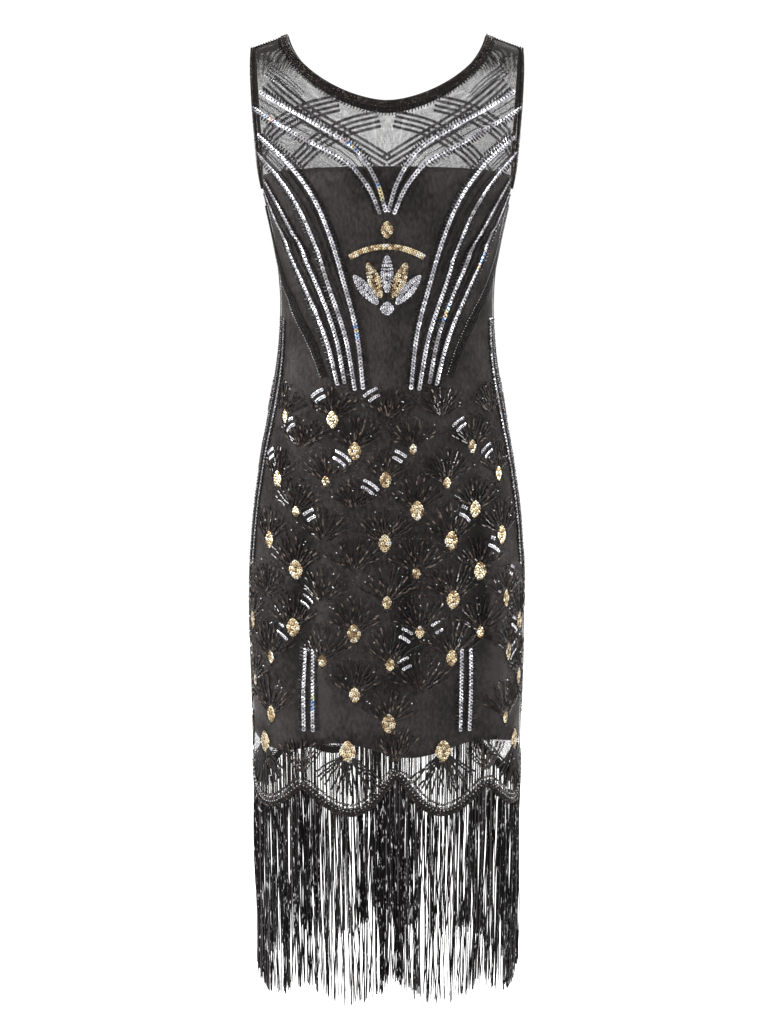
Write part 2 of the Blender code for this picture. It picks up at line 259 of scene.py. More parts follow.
net = new_finish(
    "black_net_mesh", {"Base Color": (0.0155, 0.0135, 0.0130, 1), "Roughness": 0.75, "IOR": MATT_IOR}
)
flat = cloth_of(net)
across = calculate(net, "MULTIPLY", axis_of(net, flat, "X"), math.pi / NET_PITCH)
up = calculate(net, "MULTIPLY", axis_of(net, flat, "Y"), math.pi / NET_PITCH / NET_SLANT)
threads = []
for operation in ("ADD", "SUBTRACT"):
    wave = calculate(net, "SINE", calculate(net, operation, across, up))
    threads.append(calculate(net, "ABSOLUTE", wave))
# painted shade: the net grows denser and darker towards the shoulders
shoulder_shade = add_node(
    net, "ShaderNodeMapRange", {**SHOULDER_SHADE_HEIGHTS, "To Max": SHOULDER_SHADE},
    {"Value": axis_of(net, place_of(net), "Z")}, interpolation_type="SMOOTHSTEP",
).outputs["Result"]
thinnest = NET_THREAD * 0.55 - NET_SPECKLE / 2
width = calculate(net, "MULTIPLY_ADD", noise(net, 55.0, flat), NET_THREAD, thinnest)
width = calculate(net, "MULTIPLY_ADD", noise(net, 260.0, flat), NET_SPECKLE, width)
width = calculate(net, "ADD", width, shoulder_shade)
join_shader(net, "Alpha", calculate(net, "LESS_THAN", calculate(net, "MINIMUM", *threads), width))
print("net mesh of", round(NET_PITCH * 1000, 2), "mm")

# %% [markdown]
# ## The slip's jersey
# The slip is a smooth black jersey. It isn't pure black: it reads as a warm charcoal with a soft sheen where
# it turns away from the light. Fine upright ribs of the knit go in as a bump. A broad noise lightens and
# darkens the colour in soft patches of painted sheen, and makes the gloss uneven with them. A fine slanted
# noise mottles the colour as the net that lies on it does, so that large plain areas don't look like plastic.
# The ridges of the folds are painted lighter and their troughs darker, as painted sheen and shade, and the
# ridges are also glossier: each point's height in the folds comes from an attribute, "fold", made with the
# creases below.

# %% Finish of the slip
RIB_PITCH = 0.0011
# the first sets the painted sheen patches, the second the painted shade and sheen on the folds
CLOUD = 1.9
FOLD_SHADING = 0.85
MOTTLE = 2.6
MOTTLE_SLANT = math.radians(38)

jersey = new_finish(
    "slip_jersey",
    {"IOR": 1.24, "Sheen Weight": 0.10, "Sheen Roughness": 0.3, "Sheen Tint": (0.9, 0.84, 0.82, 1)},
)
flat = cloth_of(jersey)
cloud = noise(jersey, 16.0, flat, Detail=3.0)
# painted sheen: the broad noise lightens and darkens the colour in soft patches, and makes the gloss uneven
sheen_patches = calculate(jersey, "MULTIPLY_ADD", cloud, CLOUD, (1 - CLOUD) / 2)
# painted shade and sheen: the ridges of the folds lighter and glossier, the troughs darker
painted_shading_and_gloss = calculate(jersey, "MULTIPLY_ADD", number_of(jersey, "fold"), FOLD_SHADING, sheen_patches)
slanted = add_node(
    jersey, "ShaderNodeMapping", {"Rotation": (0, 0, MOTTLE_SLANT), "Scale": (1.0, 0.55, 1.0)},
    {"Vector": flat},
).outputs["Vector"]
mottle = noise(jersey, 230.0, slanted, Detail=3.0, Roughness=0.6)
uneven = calculate(jersey, "MULTIPLY_ADD", mottle, MOTTLE, -MOTTLE / 2)
shades = ((0.0, (0.0010, 0.0008, 0.0008)), (1.0, (0.0480, 0.0420, 0.0403)))
join_shader(jersey, "Base Color", ramp(jersey, calculate(jersey, "ADD", painted_shading_and_gloss, uneven), shades))
gloss = ((0.38, (0.68, 0.68, 0.68)), (0.66, (0.38, 0.38, 0.38)))
join_shader(jersey, "Roughness", ramp(jersey, painted_shading_and_gloss, gloss))
turns = calculate(jersey, "MULTIPLY", axis_of(jersey, flat, "X"), math.tau / RIB_PITCH)
relief = calculate(jersey, "ADD", calculate(jersey, "SINE", turns), noise(jersey, 900.0, flat))
add_bump(jersey, 0.35, 0.0002, relief)
print("jersey ribs of", round(RIB_PITCH * 1000, 1), "mm")

# %% [markdown]
# ## Glass and foil
# Each bead and sequin later gets a number of its own between 0 and 1, stored in the mesh as an attribute
# called "shade". The finishes read it through a colour ramp, so that neighbours differ slightly: some
# sequins are brighter, and the gold ones run from cream to old gold. Of the black beads, those of glass are
# glossy and give the flecks of light on the skirt, and their lightest, brown tones are painted glints, while
# the duller jet is for lines that stay black on the sheer net. Smoke is a thin grey foil, for a pattern on
# the back that only shimmers through the net of the front. All of them differ in numbers alone, so one loop
# makes them from a table.

# %% Finishes of the beads and sequins
# Each finish's plain values, and the tones that the shade numbers from 0 to 1 run through
SHADED_FINISHES = {
    # the lightest, brown tones of the black glass are painted glints
    "black_glass": ({"Roughness": 0.14, "Specular IOR Level": 0.24}, (
        (0.0, (0.003, 0.002, 0.002)), (0.5, (0.0065, 0.0045, 0.004)), (0.8, (0.024, 0.017, 0.0135)),
        (1.0, (0.098, 0.074, 0.061)),
    )),
    "jet": ({"Roughness": 0.36, "IOR": 1.26}, (
        (0.0, (0.002, 0.0015, 0.0015)), (0.8, (0.006, 0.0045, 0.0045)), (1.0, (0.020, 0.016, 0.015)),
    )),
    "silver_foil": ({"Roughness": 0.27, "Metallic": 1.0}, (
        (0.0, (0.20, 0.20, 0.22)), (0.3, (0.34, 0.34, 0.37)), (0.75, (0.50, 0.50, 0.53)),
        (0.93, (0.68, 0.68, 0.71)), (1.0, (0.30, 0.30, 0.34)),
    )),
    "smoke_foil": ({"Roughness": 0.45, "IOR": 1.3}, (
        (0.0, (0.090, 0.088, 0.094)), (0.6, (0.200, 0.195, 0.205)), (1.0, (0.380, 0.370, 0.390)),
    )),
    "gold_foil": ({"Roughness": 0.30, "Metallic": 1.0}, (
        (0.0, (0.09, 0.055, 0.03)), (0.3, (0.30, 0.21, 0.11)), (0.6, (0.58, 0.47, 0.29)),
        (0.9, (0.68, 0.60, 0.43)), (1.0, (0.58, 0.60, 0.58)),
    )),
    "rainbow_foil": ({"Roughness": 0.2, "Metallic": 1.0}, (
        (0.0, (0.12, 0.20, 0.40)), (0.4, (0.30, 0.42, 0.60)), (0.70, (0.52, 0.34, 0.28)),
        (0.90, (0.56, 0.50, 0.26)), (1.0, (0.34, 0.46, 0.42)),
    )),
    "clear_glass": ({"Roughness": 0.08, "Metallic": 0.55}, (
        (0.0, (0.36, 0.36, 0.40)), (1.0, (0.82, 0.82, 0.85)),
    )),
}

for name, (values, tones) in SHADED_FINISHES.items():
    finish = new_finish(name, values)
    join_shader(finish, "Base Color", ramp(finish, number_of(finish, "shade"), tones))
print(", ".join(SHADED_FINISHES))

# %% [markdown]
# ## Thread, tape and fringe cord
# Sewing thread and the tape of the bands are matt, with a fine grain. A fringe cord is a twisted, glossy
# thread, nearly black. Its small bright glints are painted highlights that are drawn out along the cord, so
# their noise is squeezed in height. The painted glints are added to the cord's own shade of black.

# %% Finishes of the threads
thread = new_finish("sewing_thread", {"Roughness": 0.7, "IOR": MATT_IOR})
grain = noise(thread, 600.0, place_of(thread))
tones = ((0.3, (0.012, 0.011, 0.011)), (0.7, (0.035, 0.031, 0.031)))
join_shader(thread, "Base Color", ramp(thread, grain, tones))

tape = new_finish("band_tape", {"Roughness": 0.6, "IOR": MATT_IOR})
weave = noise(tape, 1400.0, place_of(tape))
tones = ((0.3, (0.005, 0.004, 0.004)), (0.75, (0.014, 0.012, 0.012)))
join_shader(tape, "Base Color", ramp(tape, weave, tones))
add_bump(tape, 0.5, 0.0003, weave)

cord = new_finish("fringe_cord", {"Roughness": 0.34, "IOR": 1.13})
drawn_out = add_node(cord, "ShaderNodeMapping", {"Scale": (1.0, 1.0, 0.22)}, {"Vector": place_of(cord)})
# painted highlights: bright glints drawn out along the cord, added to its colour
twist = noise(cord, 520.0, drawn_out.outputs["Vector"])
painted_glints = ramp(cord, twist, ((0.62, (0.0, 0.0, 0.0)), (0.67, (0.40, 0.39, 0.41))))
tones = ((0.0, (0.0012, 0.0010, 0.0010)), (0.75, (0.004, 0.0034, 0.0034)), (1.0, (0.060, 0.055, 0.055)))
lit = add_node(cord, "ShaderNodeMix", data_type="RGBA", blend_type="ADD")
lit.inputs["Factor"].default_value = 1.0
cord.node_tree.links.new(ramp(cord, number_of(cord, "shade"), tones), lit.inputs["A"])
cord.node_tree.links.new(painted_glints, lit.inputs["B"])
join_shader(cord, "Base Color", lit.outputs["Result"])
print(len(finishes), "finishes")

# %% [markdown]
# ## Taking the cut from the frame
# A panel of the frame is a closed wall 1 mm thick, stored as loose triangles. Only its outer face is wanted
# here. So a copy is merged, the narrow faces round its edges and the faces that look into the dress are
# deleted, and pairs of triangles are joined back into squares. What is left is the cut of one panel as an
# open sheet of squares, which a Subdivision Surface rounds well.

# %% Open sheet from a panel
CAD_WALL = 0.001
YOKE_LEVEL = -0.15
MERGE = 0.00001
FACINGS = {"front": 0.0, "back": math.pi}


def outer_sheet(node):
    """The outer face of a panel of the frame, as a bmesh of squares."""
    bm = bmesh.new()
    bm.from_mesh(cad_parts[node].data)
    bmesh.ops.remove_doubles(bm, verts=bm.verts, dist=MERGE)
    bm.normal_update()
    unwanted = []
    for face in bm.faces:
        middle = face.calc_center_median()
        away = middle - Vector((0, 0, min(middle.z, YOKE_LEVEL)))
        narrow = min(edge.calc_length() for edge in face.edges) < 1.5 * CAD_WALL
        if narrow or face.normal.dot(away) < 0:
            unwanted.append(face)
    bmesh.ops.delete(bm, geom=unwanted, context="FACES")
    bmesh.ops.join_triangles(
        bm, faces=bm.faces, angle_face_threshold=math.pi, angle_shape_threshold=math.pi, topology_influence=2
    )
    return bm


sheets = {name: outer_sheet(name) for name in ("net_front", "net_back", "slip_front", "slip_back")}
for name, bm in sheets.items():
    print(name, len(bm.faces), "squares")

# %% [markdown]
# ## Rounding the panels
# The frame's panels are faceted. Subdivision Surface turns each into a smooth one without moving its edges.
# It would also round off the ends of the shoulder seams and the sharp points between the scallops of the
# hem, so those points get a vertex crease first. A point between two scallops is a place on the hem that
# lies higher than the ones beside it.

# %% Round a panel
ROUNDING_LEVELS = 2
HEM_LEVEL = -0.87
SHOULDER_LEVEL = -0.05
SEAM_GAP = 0.001
HAND = {"left": -1, "right": 1}


def sharpen_points(bm):
    """Creases the points where two scallops of the hem meet, and both ends of each shoulder seam."""
    crease = bm.verts.layers.float.new("crease_vert")
    edge_verts = [vert for vert in bm.verts if vert.is_boundary]
    for vert in edge_verts:
        neighbours = [edge.other_vert(vert) for edge in vert.link_edges if edge.is_boundary]
        if vert.co.z < HEM_LEVEL and all(other.co.z < vert.co.z for other in neighbours):
            vert[crease] = 1.0
    at_seam = [vert for vert in edge_verts if abs(vert.co.y) < SEAM_GAP and vert.co.z > SHOULDER_LEVEL]
    for hand in HAND.values():
        seam_verts = [vert for vert in at_seam if vert.co.x * hand > 0]
        seam_verts.sort(key=lambda vert: abs(vert.co.x))
        seam_verts[0][crease] = seam_verts[-1][crease] = 1.0


def rounded(bm, name):
    """A smooth mesh of an open sheet."""
    rough = to_scene(name, to_mesh(name, bm))
    rounding = rough.modifiers.new("rounding", "SUBSURF")
    rounding.levels = ROUNDING_LEVELS
    rounding.render_levels = ROUNDING_LEVELS
    rounding.boundary_smooth = "PRESERVE_CORNERS"
    fine = bpy.data.meshes.new_from_object(rough.evaluated_get(bpy.context.evaluated_depsgraph_get()))
    bpy.data.meshes.remove(rough.data)
    return fine


for name, bm in sheets.items():
    if name.startswith("net"):
        sharpen_points(bm)
cloths = {name: rounded(bm, name + "_cloth") for name, bm in sheets.items()}
print({name: len(mesh.polygons) for name, mesh in cloths.items()})

# %% [markdown]
# ## Creases
# Thin cloth on a figure is never quite smooth. It drops in soft upright folds from the hips, pulls from the
# armhole towards the bust and bunches a little at the waist. Each row of this table is one such crease: a
# soft trough (or ridge, where its depth is positive) between two places. A turn is how far round the figure
# a place lies from the middle of the front or back, in degrees. The net and the slip take the same creases,
# so they stay apart. The slip's hem is turned up by hand and dips and rises a few millimetres.

# %% Crease the cloth
# The side, the turn and height of the top, the turn and height of the foot, half of the width, the depth
CREASES = (
    ("front", 62, -0.095, 46, -0.150, 0.008, -0.0026),
    ("front", 50, -0.120, 38, -0.175, 0.007, 0.0018),
    ("front", -58, -0.110, -45, -0.165, 0.008, -0.0018),
    ("front", -70, -0.235, -40, -0.275, 0.008, -0.0020),
    ("front", 72, -0.230, 38, -0.285, 0.009, -0.0024),
    ("front", -78, -0.315, -45, -0.335, 0.006, -0.0016),
    ("front", 76, -0.325, 50, -0.350, 0.007, -0.0020),
    ("front", -66, -0.375, -50, -0.520, 0.010, 0.0022),
    ("front", -44, -0.560, -48, -0.800, 0.011, -0.0030),
    ("front", -34, -0.640, -36, -0.870, 0.010, 0.0028),
    ("front", 12, -0.600, 9, -0.800, 0.012, -0.0018),
    ("front", 47, -0.520, 52, -0.780, 0.011, -0.0032),
    ("front", 58, -0.600, 60, -0.860, 0.010, 0.0030),
    ("back", -55, -0.100, -40, -0.155, 0.008, -0.0022),
    ("back", 60, -0.115, 44, -0.170, 0.008, -0.0020),
    ("back", 5, -0.330, -8, -0.420, 0.009, -0.0020),
    ("back", 40, -0.350, 18, -0.385, 0.008, -0.0022),
    ("back", -42, -0.340, -20, -0.372, 0.007, -0.0018),
    ("back", -30, -0.520, -34, -0.780, 0.011, -0.0026),
    ("back", 14, -0.560, 16, -0.850, 0.012, 0.0026),
    ("back", 48, -0.540, 46, -0.820, 0.011, -0.0030),
    ("back", -60, -0.600, -62, -0.860, 0.010, 0.0026),
)
CREASE_STRENGTH = 2.0
CREASE_SPREAD = 1.3
DEEPEST_FOLD = 0.005
TURN_RADIUS = 0.14  # turns a small angle round the figure into a distance
HEM_DIP = 0.0042
HEM_DIP_TOP = -0.80
HEM_DIP_FADE = 0.08
HEM_DIPS = (4.5, 3.82)  # how often the hem dips, and where the first dip lies, in radians


def turn_from(facing, point):
    """How far round the figure a point lies from the middle of the front or back, in radians."""
    turn = math.atan2(point.x, -point.y)
    return (turn - FACINGS[facing] + math.pi) % math.tau - math.pi


def crease_depth(facing, point):
    """How far the creases move a point outwards."""
    turn = turn_from(facing, point)
    moved = 0.0
    for side, top_turn, top_z, foot_turn, foot_z, half_width, depth in CREASES:
        share = (top_z - point.z) / (top_z - foot_z)
        if side != facing or not 0 < share < 1:
            continue
        middle = math.radians(top_turn + (foot_turn - top_turn) * share)
        aside = (turn - middle) * TURN_RADIUS / half_width / CREASE_SPREAD
        slant = abs(math.radians(foot_turn - top_turn)) * TURN_RADIUS / (top_z - foot_z)
        aside /= math.hypot(1, slant)
        moved += CREASE_STRENGTH * depth * math.exp(-(aside**2)) * math.sin(math.pi * share) ** 0.8
    return moved


def hem_dip(facing, point):
    """How far the slip's uneven hem lifts a point; nothing at the side seams."""
    turn = turn_from(facing, point)
    share = min(1.0, max(0.0, (HEM_DIP_TOP - point.z) / HEM_DIP_FADE))
    return HEM_DIP * share * math.sin(HEM_DIPS[0] * turn + HEM_DIPS[1]) * max(0.0, math.cos(turn)) ** 0.5


for name, mesh in cloths.items():
    facing = name.split("_")[1]
    if name.startswith("slip"):
        for vert in mesh.vertices:
            vert.co.z += hem_dip(facing, vert.co)
    normals = [vert.normal.copy() for vert in mesh.vertices]
    depths = [crease_depth(facing, vert.co) for vert in mesh.vertices]
    for vert, normal, depth in zip(mesh.vertices, normals, depths):
        vert.co += normal * depth
    # each point's depth in the folds; the slip paints shade and sheen on its folds from it
    mesh.attributes.new("fold", "FLOAT", "POINT").data.foreach_set("value", np.array(depths) / DEEPEST_FOLD)
print(len(CREASES), "creases")

# %% [markdown]
# ## Laying the panels flat
# The net and jersey patterns follow the cloth's own threads, so each panel needs a UV map that is its flat
# cut, in metres: the distance round the figure goes across it and the length down the cloth goes up it.
# Above the shoulder's turn the cloth lies almost level, so there its length grows twice as fast as its
# height.

# %% Flat pattern of each panel
SHOULDER_TURN = -0.055


def lay_flat(mesh, facing):
    """Writes the panel's flat cut, in metres, as its UV map."""
    pattern = mesh.uv_layers.new(name="flat_pattern")
    for loop in mesh.loops:
        point = mesh.vertices[loop.vertex_index].co
        length = point.z + max(0.0, point.z - SHOULDER_TURN)
        pattern.data[loop.index].uv = (turn_from(facing, point) * TURN_RADIUS, length)


for name, mesh in cloths.items():
    lay_flat(mesh, name.split("_")[1])
print("flat patterns on", ", ".join(cloths))

# %% [markdown]
# ## The cloth as pieces
# Solidify gives each sheet its own thin wall. The slip's wall grows mostly outwards, so that the net lies on
# it, as it does on a body. One helper adds every piece of the dress: it rides on the dress's one body and
# takes the finishes that it is given.

# %% Net and slip as pieces
# Each cloth's finish and thickness, and where its wall grows: -1 is all inwards, 1 all outwards
CLOTH_WALLS = {"net": ("black_net_mesh", 0.0004, -1.0), "slip": ("slip_jersey", 0.0009, 0.6)}


def add_piece(name, mesh, finish_names):
    """Adds a finished mesh to the dress."""
    piece = to_scene(name, mesh)
    for finish_name in finish_names:
        mesh.materials.append(finishes[finish_name])
    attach(piece, "root")
    return piece


def add_wall(piece, thickness, offset):
    """Gives an open sheet a wall."""
    wall = piece.modifiers.new("wall", "SOLIDIFY")
    wall.thickness = thickness
    wall.offset = offset


pieces = {}
for name, mesh in cloths.items():
    finish_name, thickness, offset = CLOTH_WALLS[name.split("_")[0]]
    mesh.materials.clear()
    mesh.shade_smooth()
    pieces[name] = add_piece(name + "_cloth", mesh, [finish_name])
    add_wall(pieces[name], thickness, offset)
    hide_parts(name)

# %% [markdown]
# ## Drawing on the net
# The beads are placed on the net itself, so a way is needed to find a place on it. A ray from outside
# towards the dress's middle line hits the net at a given turn and height. To draw shapes at their true size,
# distances along the cloth are wanted instead of angles: so the girth is measured once at many heights, like
# a tape measure laid round the dress, and a distance from the middle is looked up in it.

# %% Measure round the dress
GIRTH_STEP = 0.005
GIRTH_HEIGHTS = np.arange(-0.900, -0.089, GIRTH_STEP)
GIRTH_TURNS = np.radians(np.arange(-130, 131, 2.0))


def skin_of(meshes):
    """The faces of several meshes as one tree that rays can hit."""
    points, faces = [], []
    for mesh in meshes:
        start = len(points)
        points += [vert.co.copy() for vert in mesh.vertices]
        faces += [[start + corner for corner in face.vertices] for face in mesh.polygons]
    return BVHTree.FromPolygons(points, faces)


skin = skin_of([cloths["net_front"], cloths["net_back"]])


def cast(turn, height):
    """Where a level ray towards the dress's middle line meets the net, and the way out there."""
    away = Vector((math.sin(turn), -math.cos(turn), 0))
    point, normal, _, _ = skin.ray_cast(away + Vector((0, 0, height)), -away, 1.0)
    return point, normal


def lengths_along(points):
    """How far along a line each of its points lies."""
    return np.concatenate(([0], np.cumsum(np.linalg.norm(np.diff(points, axis=0), axis=1))))


def measure(facing):
    """Distances along the net from the middle of a side, a row for each height."""
    rows = []
    for height in GIRTH_HEIGHTS:
        hits = [(turn, cast(turn + FACINGS[facing], height)[0]) for turn in GIRTH_TURNS]
        found = [(turn, math.hypot(point.x, point.y)) for turn, point in hits if point]
        reach = np.interp(GIRTH_TURNS, *zip(*found))
        along = lengths_along(np.stack((reach * np.sin(GIRTH_TURNS), reach * np.cos(GIRTH_TURNS)), axis=1))
        rows.append(along - along[len(along) // 2])
    return np.array(rows)


girths = {facing: measure(facing) for facing in FACINGS}


def spot(facing, along, height):
    """The place on the net at a distance from the middle of a side and at a height, and the way out."""
    row = (height - GIRTH_HEIGHTS[0]) / (GIRTH_HEIGHTS[1] - GIRTH_HEIGHTS[0])
    row = np.clip(row, 0, len(GIRTH_HEIGHTS) - 1.01)
    low = int(row)
    distances = girths[facing][low] * (low + 1 - row) + girths[facing][low + 1] * (row - low)
    return cast(np.interp(along, distances, GIRTH_TURNS) + FACINGS[facing], height)


def half_girth(facing, height):
    """The distance from the middle of a side to its side seams."""
    row = int(np.clip(round((height - GIRTH_HEIGHTS[0]) / GIRTH_STEP), 0, len(GIRTH_HEIGHTS) - 1))
    return np.interp(math.pi / 2, GIRTH_TURNS, girths[facing][row])


for height in (-0.205, -0.340, -0.640):
    print("girth at", height, "m:", round(sum(2 * half_girth(facing, height) for facing in FACINGS), 3), "m")

# %% [markdown]
# ## Lines
# A few places are enough for a smooth line: a Catmull-Rom curve passes through all of them. It is worked out
# on the flat pattern and then drawn on the net, place by place.

# %% Helpers for lines
def smooth_line(rows, steps=16):
    """Points on a smooth curve through rows of numbers."""
    rows = np.array(rows, float)
    rows = np.vstack((2 * rows[0] - rows[1], rows, 2 * rows[-1] - rows[-2]))
    t = np.linspace(0, 1, steps, endpoint=False)[:, None]
    spans = []
    for a, b, c, d in zip(rows, rows[1:], rows[2:], rows[3:]):
        spans.append(b + 0.5 * t * (c - a + t * (2 * a - 5 * b + 4 * c - d + t * (3 * (b - c) + d - a))))
    return np.vstack((*spans, rows[-2]))


def drawn(facing, line):
    """The places of a line of (along, height) on the net, and the way out at each; misses are left out."""
    found = [spot(facing, along, height) for along, height in line]
    found = [(point, normal) for point, normal in found if point]
    places = np.array([point for point, _ in found]).reshape(-1, 3)
    return places, np.array([normal for _, normal in found]).reshape(-1, 3)


def unit(vectors):
    """The same directions, each 1 long."""
    return vectors / np.linalg.norm(vectors, axis=-1, keepdims=True)


def read_along(points, wanted):
    """The places on a line at the wanted distances along it."""
    along = lengths_along(points)
    return np.stack([np.interp(wanted, along, points[:, axis]) for axis in range(3)], axis=1)


def even_line(line, pitch, closed=True):
    """The same line with points at even steps."""
    if closed:
        line = np.vstack((line, line[:1]))
    length = lengths_along(line)[-1]
    line = read_along(line, np.linspace(0, length, int(length / pitch) + 1))
    return line[:-1] if closed else line


print("a smooth line through 3 places has", len(smooth_line(((0, 0), (1, 1), (2, 0)))), "points")

# %% [markdown]
# ## Stitches
# A line on the net is walked in even steps, and each step becomes a *stitch*: a place with three directions,
# forward along the line, sideways and out of the cloth. Everything that is sewn on is placed by stitches.

# %% Helpers for stitches
def stitches(points, outward, forward, lift=0.0):
    """Stitches as an array: place, forward, sideways and outward for each."""
    outward = unit(outward)
    forward = unit(forward - outward * np.sum(forward * outward, axis=1, keepdims=True))
    sideways = np.cross(outward, forward)
    return np.stack((points + outward * lift, forward, sideways, outward), axis=1)


def walk(points, outward, pitch, lift=0.0):
    """Stitches at even steps along a line of places."""
    along = lengths_along(points)
    wanted = np.arange(0.5 * pitch, along[-1], pitch)
    out = np.stack([np.interp(wanted, along, outward[:, axis]) for axis in range(3)], axis=1)
    ahead = read_along(points, wanted + pitch / 2) - read_along(points, wanted - pitch / 2)
    return stitches(read_along(points, wanted), out, ahead, lift)


def rolled(marks, pitch=0.0, yaw=0.0):
    """Stitches turned: by a pitch about their sideways direction, then by a yaw about their outward one."""
    place, forward, sideways, outward = (marks[:, part] for part in range(4))
    yaw, pitch = (np.broadcast_to(angle, len(marks))[:, None] for angle in (yaw, pitch))
    forward, sideways = (
        forward * np.cos(yaw) + sideways * np.sin(yaw), sideways * np.cos(yaw) - forward * np.sin(yaw)
    )
    forward, outward = (
        forward * np.cos(pitch) + outward * np.sin(pitch), outward * np.cos(pitch) - forward * np.sin(pitch)
    )
    return np.stack((place, forward, sideways, outward), axis=1)


def unevenly(marks, aside=0.0002, twist=0.12):
    """Stitches moved and turned a little by chance, as hand sewing is."""
    moved = marks.copy()
    for direction in (1, 2):
        moved[:, 0] += marks[:, direction] * chance.normal(0, aside, (len(marks), 1))
    pitch = chance.normal(0, twist / 2, len(marks))
    return rolled(moved, pitch=pitch, yaw=chance.normal(0, twist, len(marks)))


def clear_of(marks, others, room):
    """The stitches that lie at least a given distance from others."""
    gaps = [np.min(np.linalg.norm(others[:, 0] - place, axis=1)) for place in marks[:, 0]]
    return marks[np.array(gaps) > room]


print("stitches ready")

# %% [markdown]
# ## Beads and sequins
# A bump in the net's finish would be cheaper, but only real beads and sequins stand out at the edges and
# flash one by one. There are thousands of them, so each is modelled once, with few faces, and copied to all
# its stitches in one mesh. A seed bead is a small ball, a bugle bead a short glass tube. A sequin is a
# shallow cone with its top cut off: the slopes catch the light each in their own way, and the little flat
# top is the dark hole with its thread, which takes a second finish.

# %% Model one of each
SEED_RADIUS = 0.0010
BUGLE_RADIUS = 0.00085
BUGLE_LENGTH = 0.0062
SHORT_BUGLE_LENGTH = 0.0038
SEQUIN_RADIUS = 0.0030
SMALL_SEQUIN_RADIUS = 0.0024
SEQUIN_RISE = 0.0007
SEQUIN_HOLE = 0.4  # share of its radius, with the thread that passes through it


def shape_of(bm, smooth):
    """The points, faces and material numbers of a small shape."""
    bm.verts.index_update()
    points = np.array([vert.co[:] for vert in bm.verts])
    faces = [[vert.index for vert in face.verts] for face in bm.faces]
    numbers = [face.material_index for face in bm.faces]
    bm.free()
    return points, faces, numbers, smooth


def seed_bead():
    """A small ball, a little shorter along its thread, that stands on the cloth."""
    bm = bmesh.new()
    bmesh.ops.create_uvsphere(bm, u_segments=4, v_segments=3, radius=SEED_RADIUS)
    bmesh.ops.scale(bm, verts=bm.verts, vec=(0.85, 1, 1))
    bmesh.ops.translate(bm, verts=bm.verts, vec=(0, 0, SEED_RADIUS))
    return shape_of(bm, smooth=True)


def bugle_bead(length):
    """A glass tube that lies on the cloth along its thread."""
    bm = bmesh.new()
    bmesh.ops.create_cone(
        bm, cap_ends=True, segments=5, radius1=BUGLE_RADIUS, radius2=BUGLE_RADIUS, depth=length
    )
    quarter = Vector((0, 0, 1)).rotation_difference(Vector((1, 0, 0))).to_matrix()
    bmesh.ops.rotate(bm, verts=bm.verts, matrix=quarter)
    bmesh.ops.translate(bm, verts=bm.verts, vec=(0, 0, BUGLE_RADIUS))
    return shape_of(bm, smooth=False)


def sequin(radius):
    """A cupped disc, with its flat top as a second material."""
    bm = bmesh.new()
    bmesh.ops.create_cone(
        bm, cap_ends=True, segments=8, radius1=radius, radius2=radius * SEQUIN_HOLE, depth=SEQUIN_RISE
    )
    bmesh.ops.translate(bm, verts=bm.verts, vec=(0, 0, SEQUIN_RISE / 2))
    max(bm.faces, key=lambda face: face.calc_center_median().z).material_index = 1
    return shape_of(bm, smooth=False)


SEED = seed_bead()
BUGLE = bugle_bead(BUGLE_LENGTH)
SHORT_BUGLE = bugle_bead(SHORT_BUGLE_LENGTH)
SEQUIN = sequin(SEQUIN_RADIUS)
SMALL_SEQUIN = sequin(SMALL_SEQUIN_RADIUS)
print("a seed has", len(SEED[1]), "faces, a bugle", len(BUGLE[1]), "and a sequin", len(SEQUIN[1]))

# %% [markdown]
# ## Sewing on
# To sew a shape on at many stitches, its points are moved by every stitch at once with numpy, and the
# copies are joined in one mesh. Each copy also gets its "shade" number here.

# %% Sew copies on
sewn = {}


def sew(name, shape, marks, finish_name, sizes=1.0):
    """One piece of many copies of a small shape, one at each stitch."""
    placed = marks[:, None, 0] + np.einsum("vi,mij->mvj", shape[0], marks[:, 1:]) * sizes
    return join_copies(name, shape, placed, finish_name)


def join_copies(name, shape, placed, finish_name):
    """One piece of the copies of a shape whose points lie at the given places."""
    points, faces, numbers, smooth = shape
    count = len(placed)
    corners = np.concatenate([np.array(face) for face in faces])
    steps = np.arange(count) * len(points)
    mesh = bpy.data.meshes.new(name)
    mesh.vertices.add(count * len(points))
    mesh.vertices.foreach_set("co", placed.ravel())
    mesh.loops.add(count * len(corners))
    mesh.loops.foreach_set("vertex_index", (corners[None] + steps[:, None]).ravel())
    sides = np.array([len(face) for face in faces])
    starts = np.concatenate(([0], np.cumsum(sides)[:-1]))
    mesh.polygons.add(count * len(faces))
    mesh.polygons.foreach_set("loop_start", (starts[None] + np.arange(count)[:, None] * len(corners)).ravel())
    mesh.polygons.foreach_set("material_index", np.tile(numbers, count))
    mesh.polygons.foreach_set("use_smooth", np.full(count * len(faces), smooth))
    mesh.update(calc_edges=True)
    shades = mesh.attributes.new("shade", "FLOAT", "POINT")
    shades.data.foreach_set("value", np.repeat(chance.random(count), len(points)).astype(np.float32))
    sewn[name] = count * int(np.sum(sides - 2))
    print(name, count, "copies,", sewn[name], "triangles")
    return add_piece(name, mesh, [finish_name] + ["sewing_thread"] * max(numbers))


# %% [markdown]
# ## Edges of the net
# The bands follow the edges of the net, so its edges are wanted as lines in order. An edge of the sheet is
# made of the vertices that have a face on one side only. They are picked by where they lie, and sorted by
# their turn round the figure (or round the arm, for an armhole).

# %% Find the neckline, the armholes and the hem
NECK_REACH = 0.125
NECK_LOWEST = -0.12
ARMHOLE_INNER = 0.145
UNDERARM = -0.182
SIDE_SEAM_TOP = -0.17
ARM_MIDDLE = (-0.010, -0.085)  # y and z of the middle of an armhole
SEAM_END = 0.0005  # of the points on a seam, only those this near its end belong to a neckline or a hem


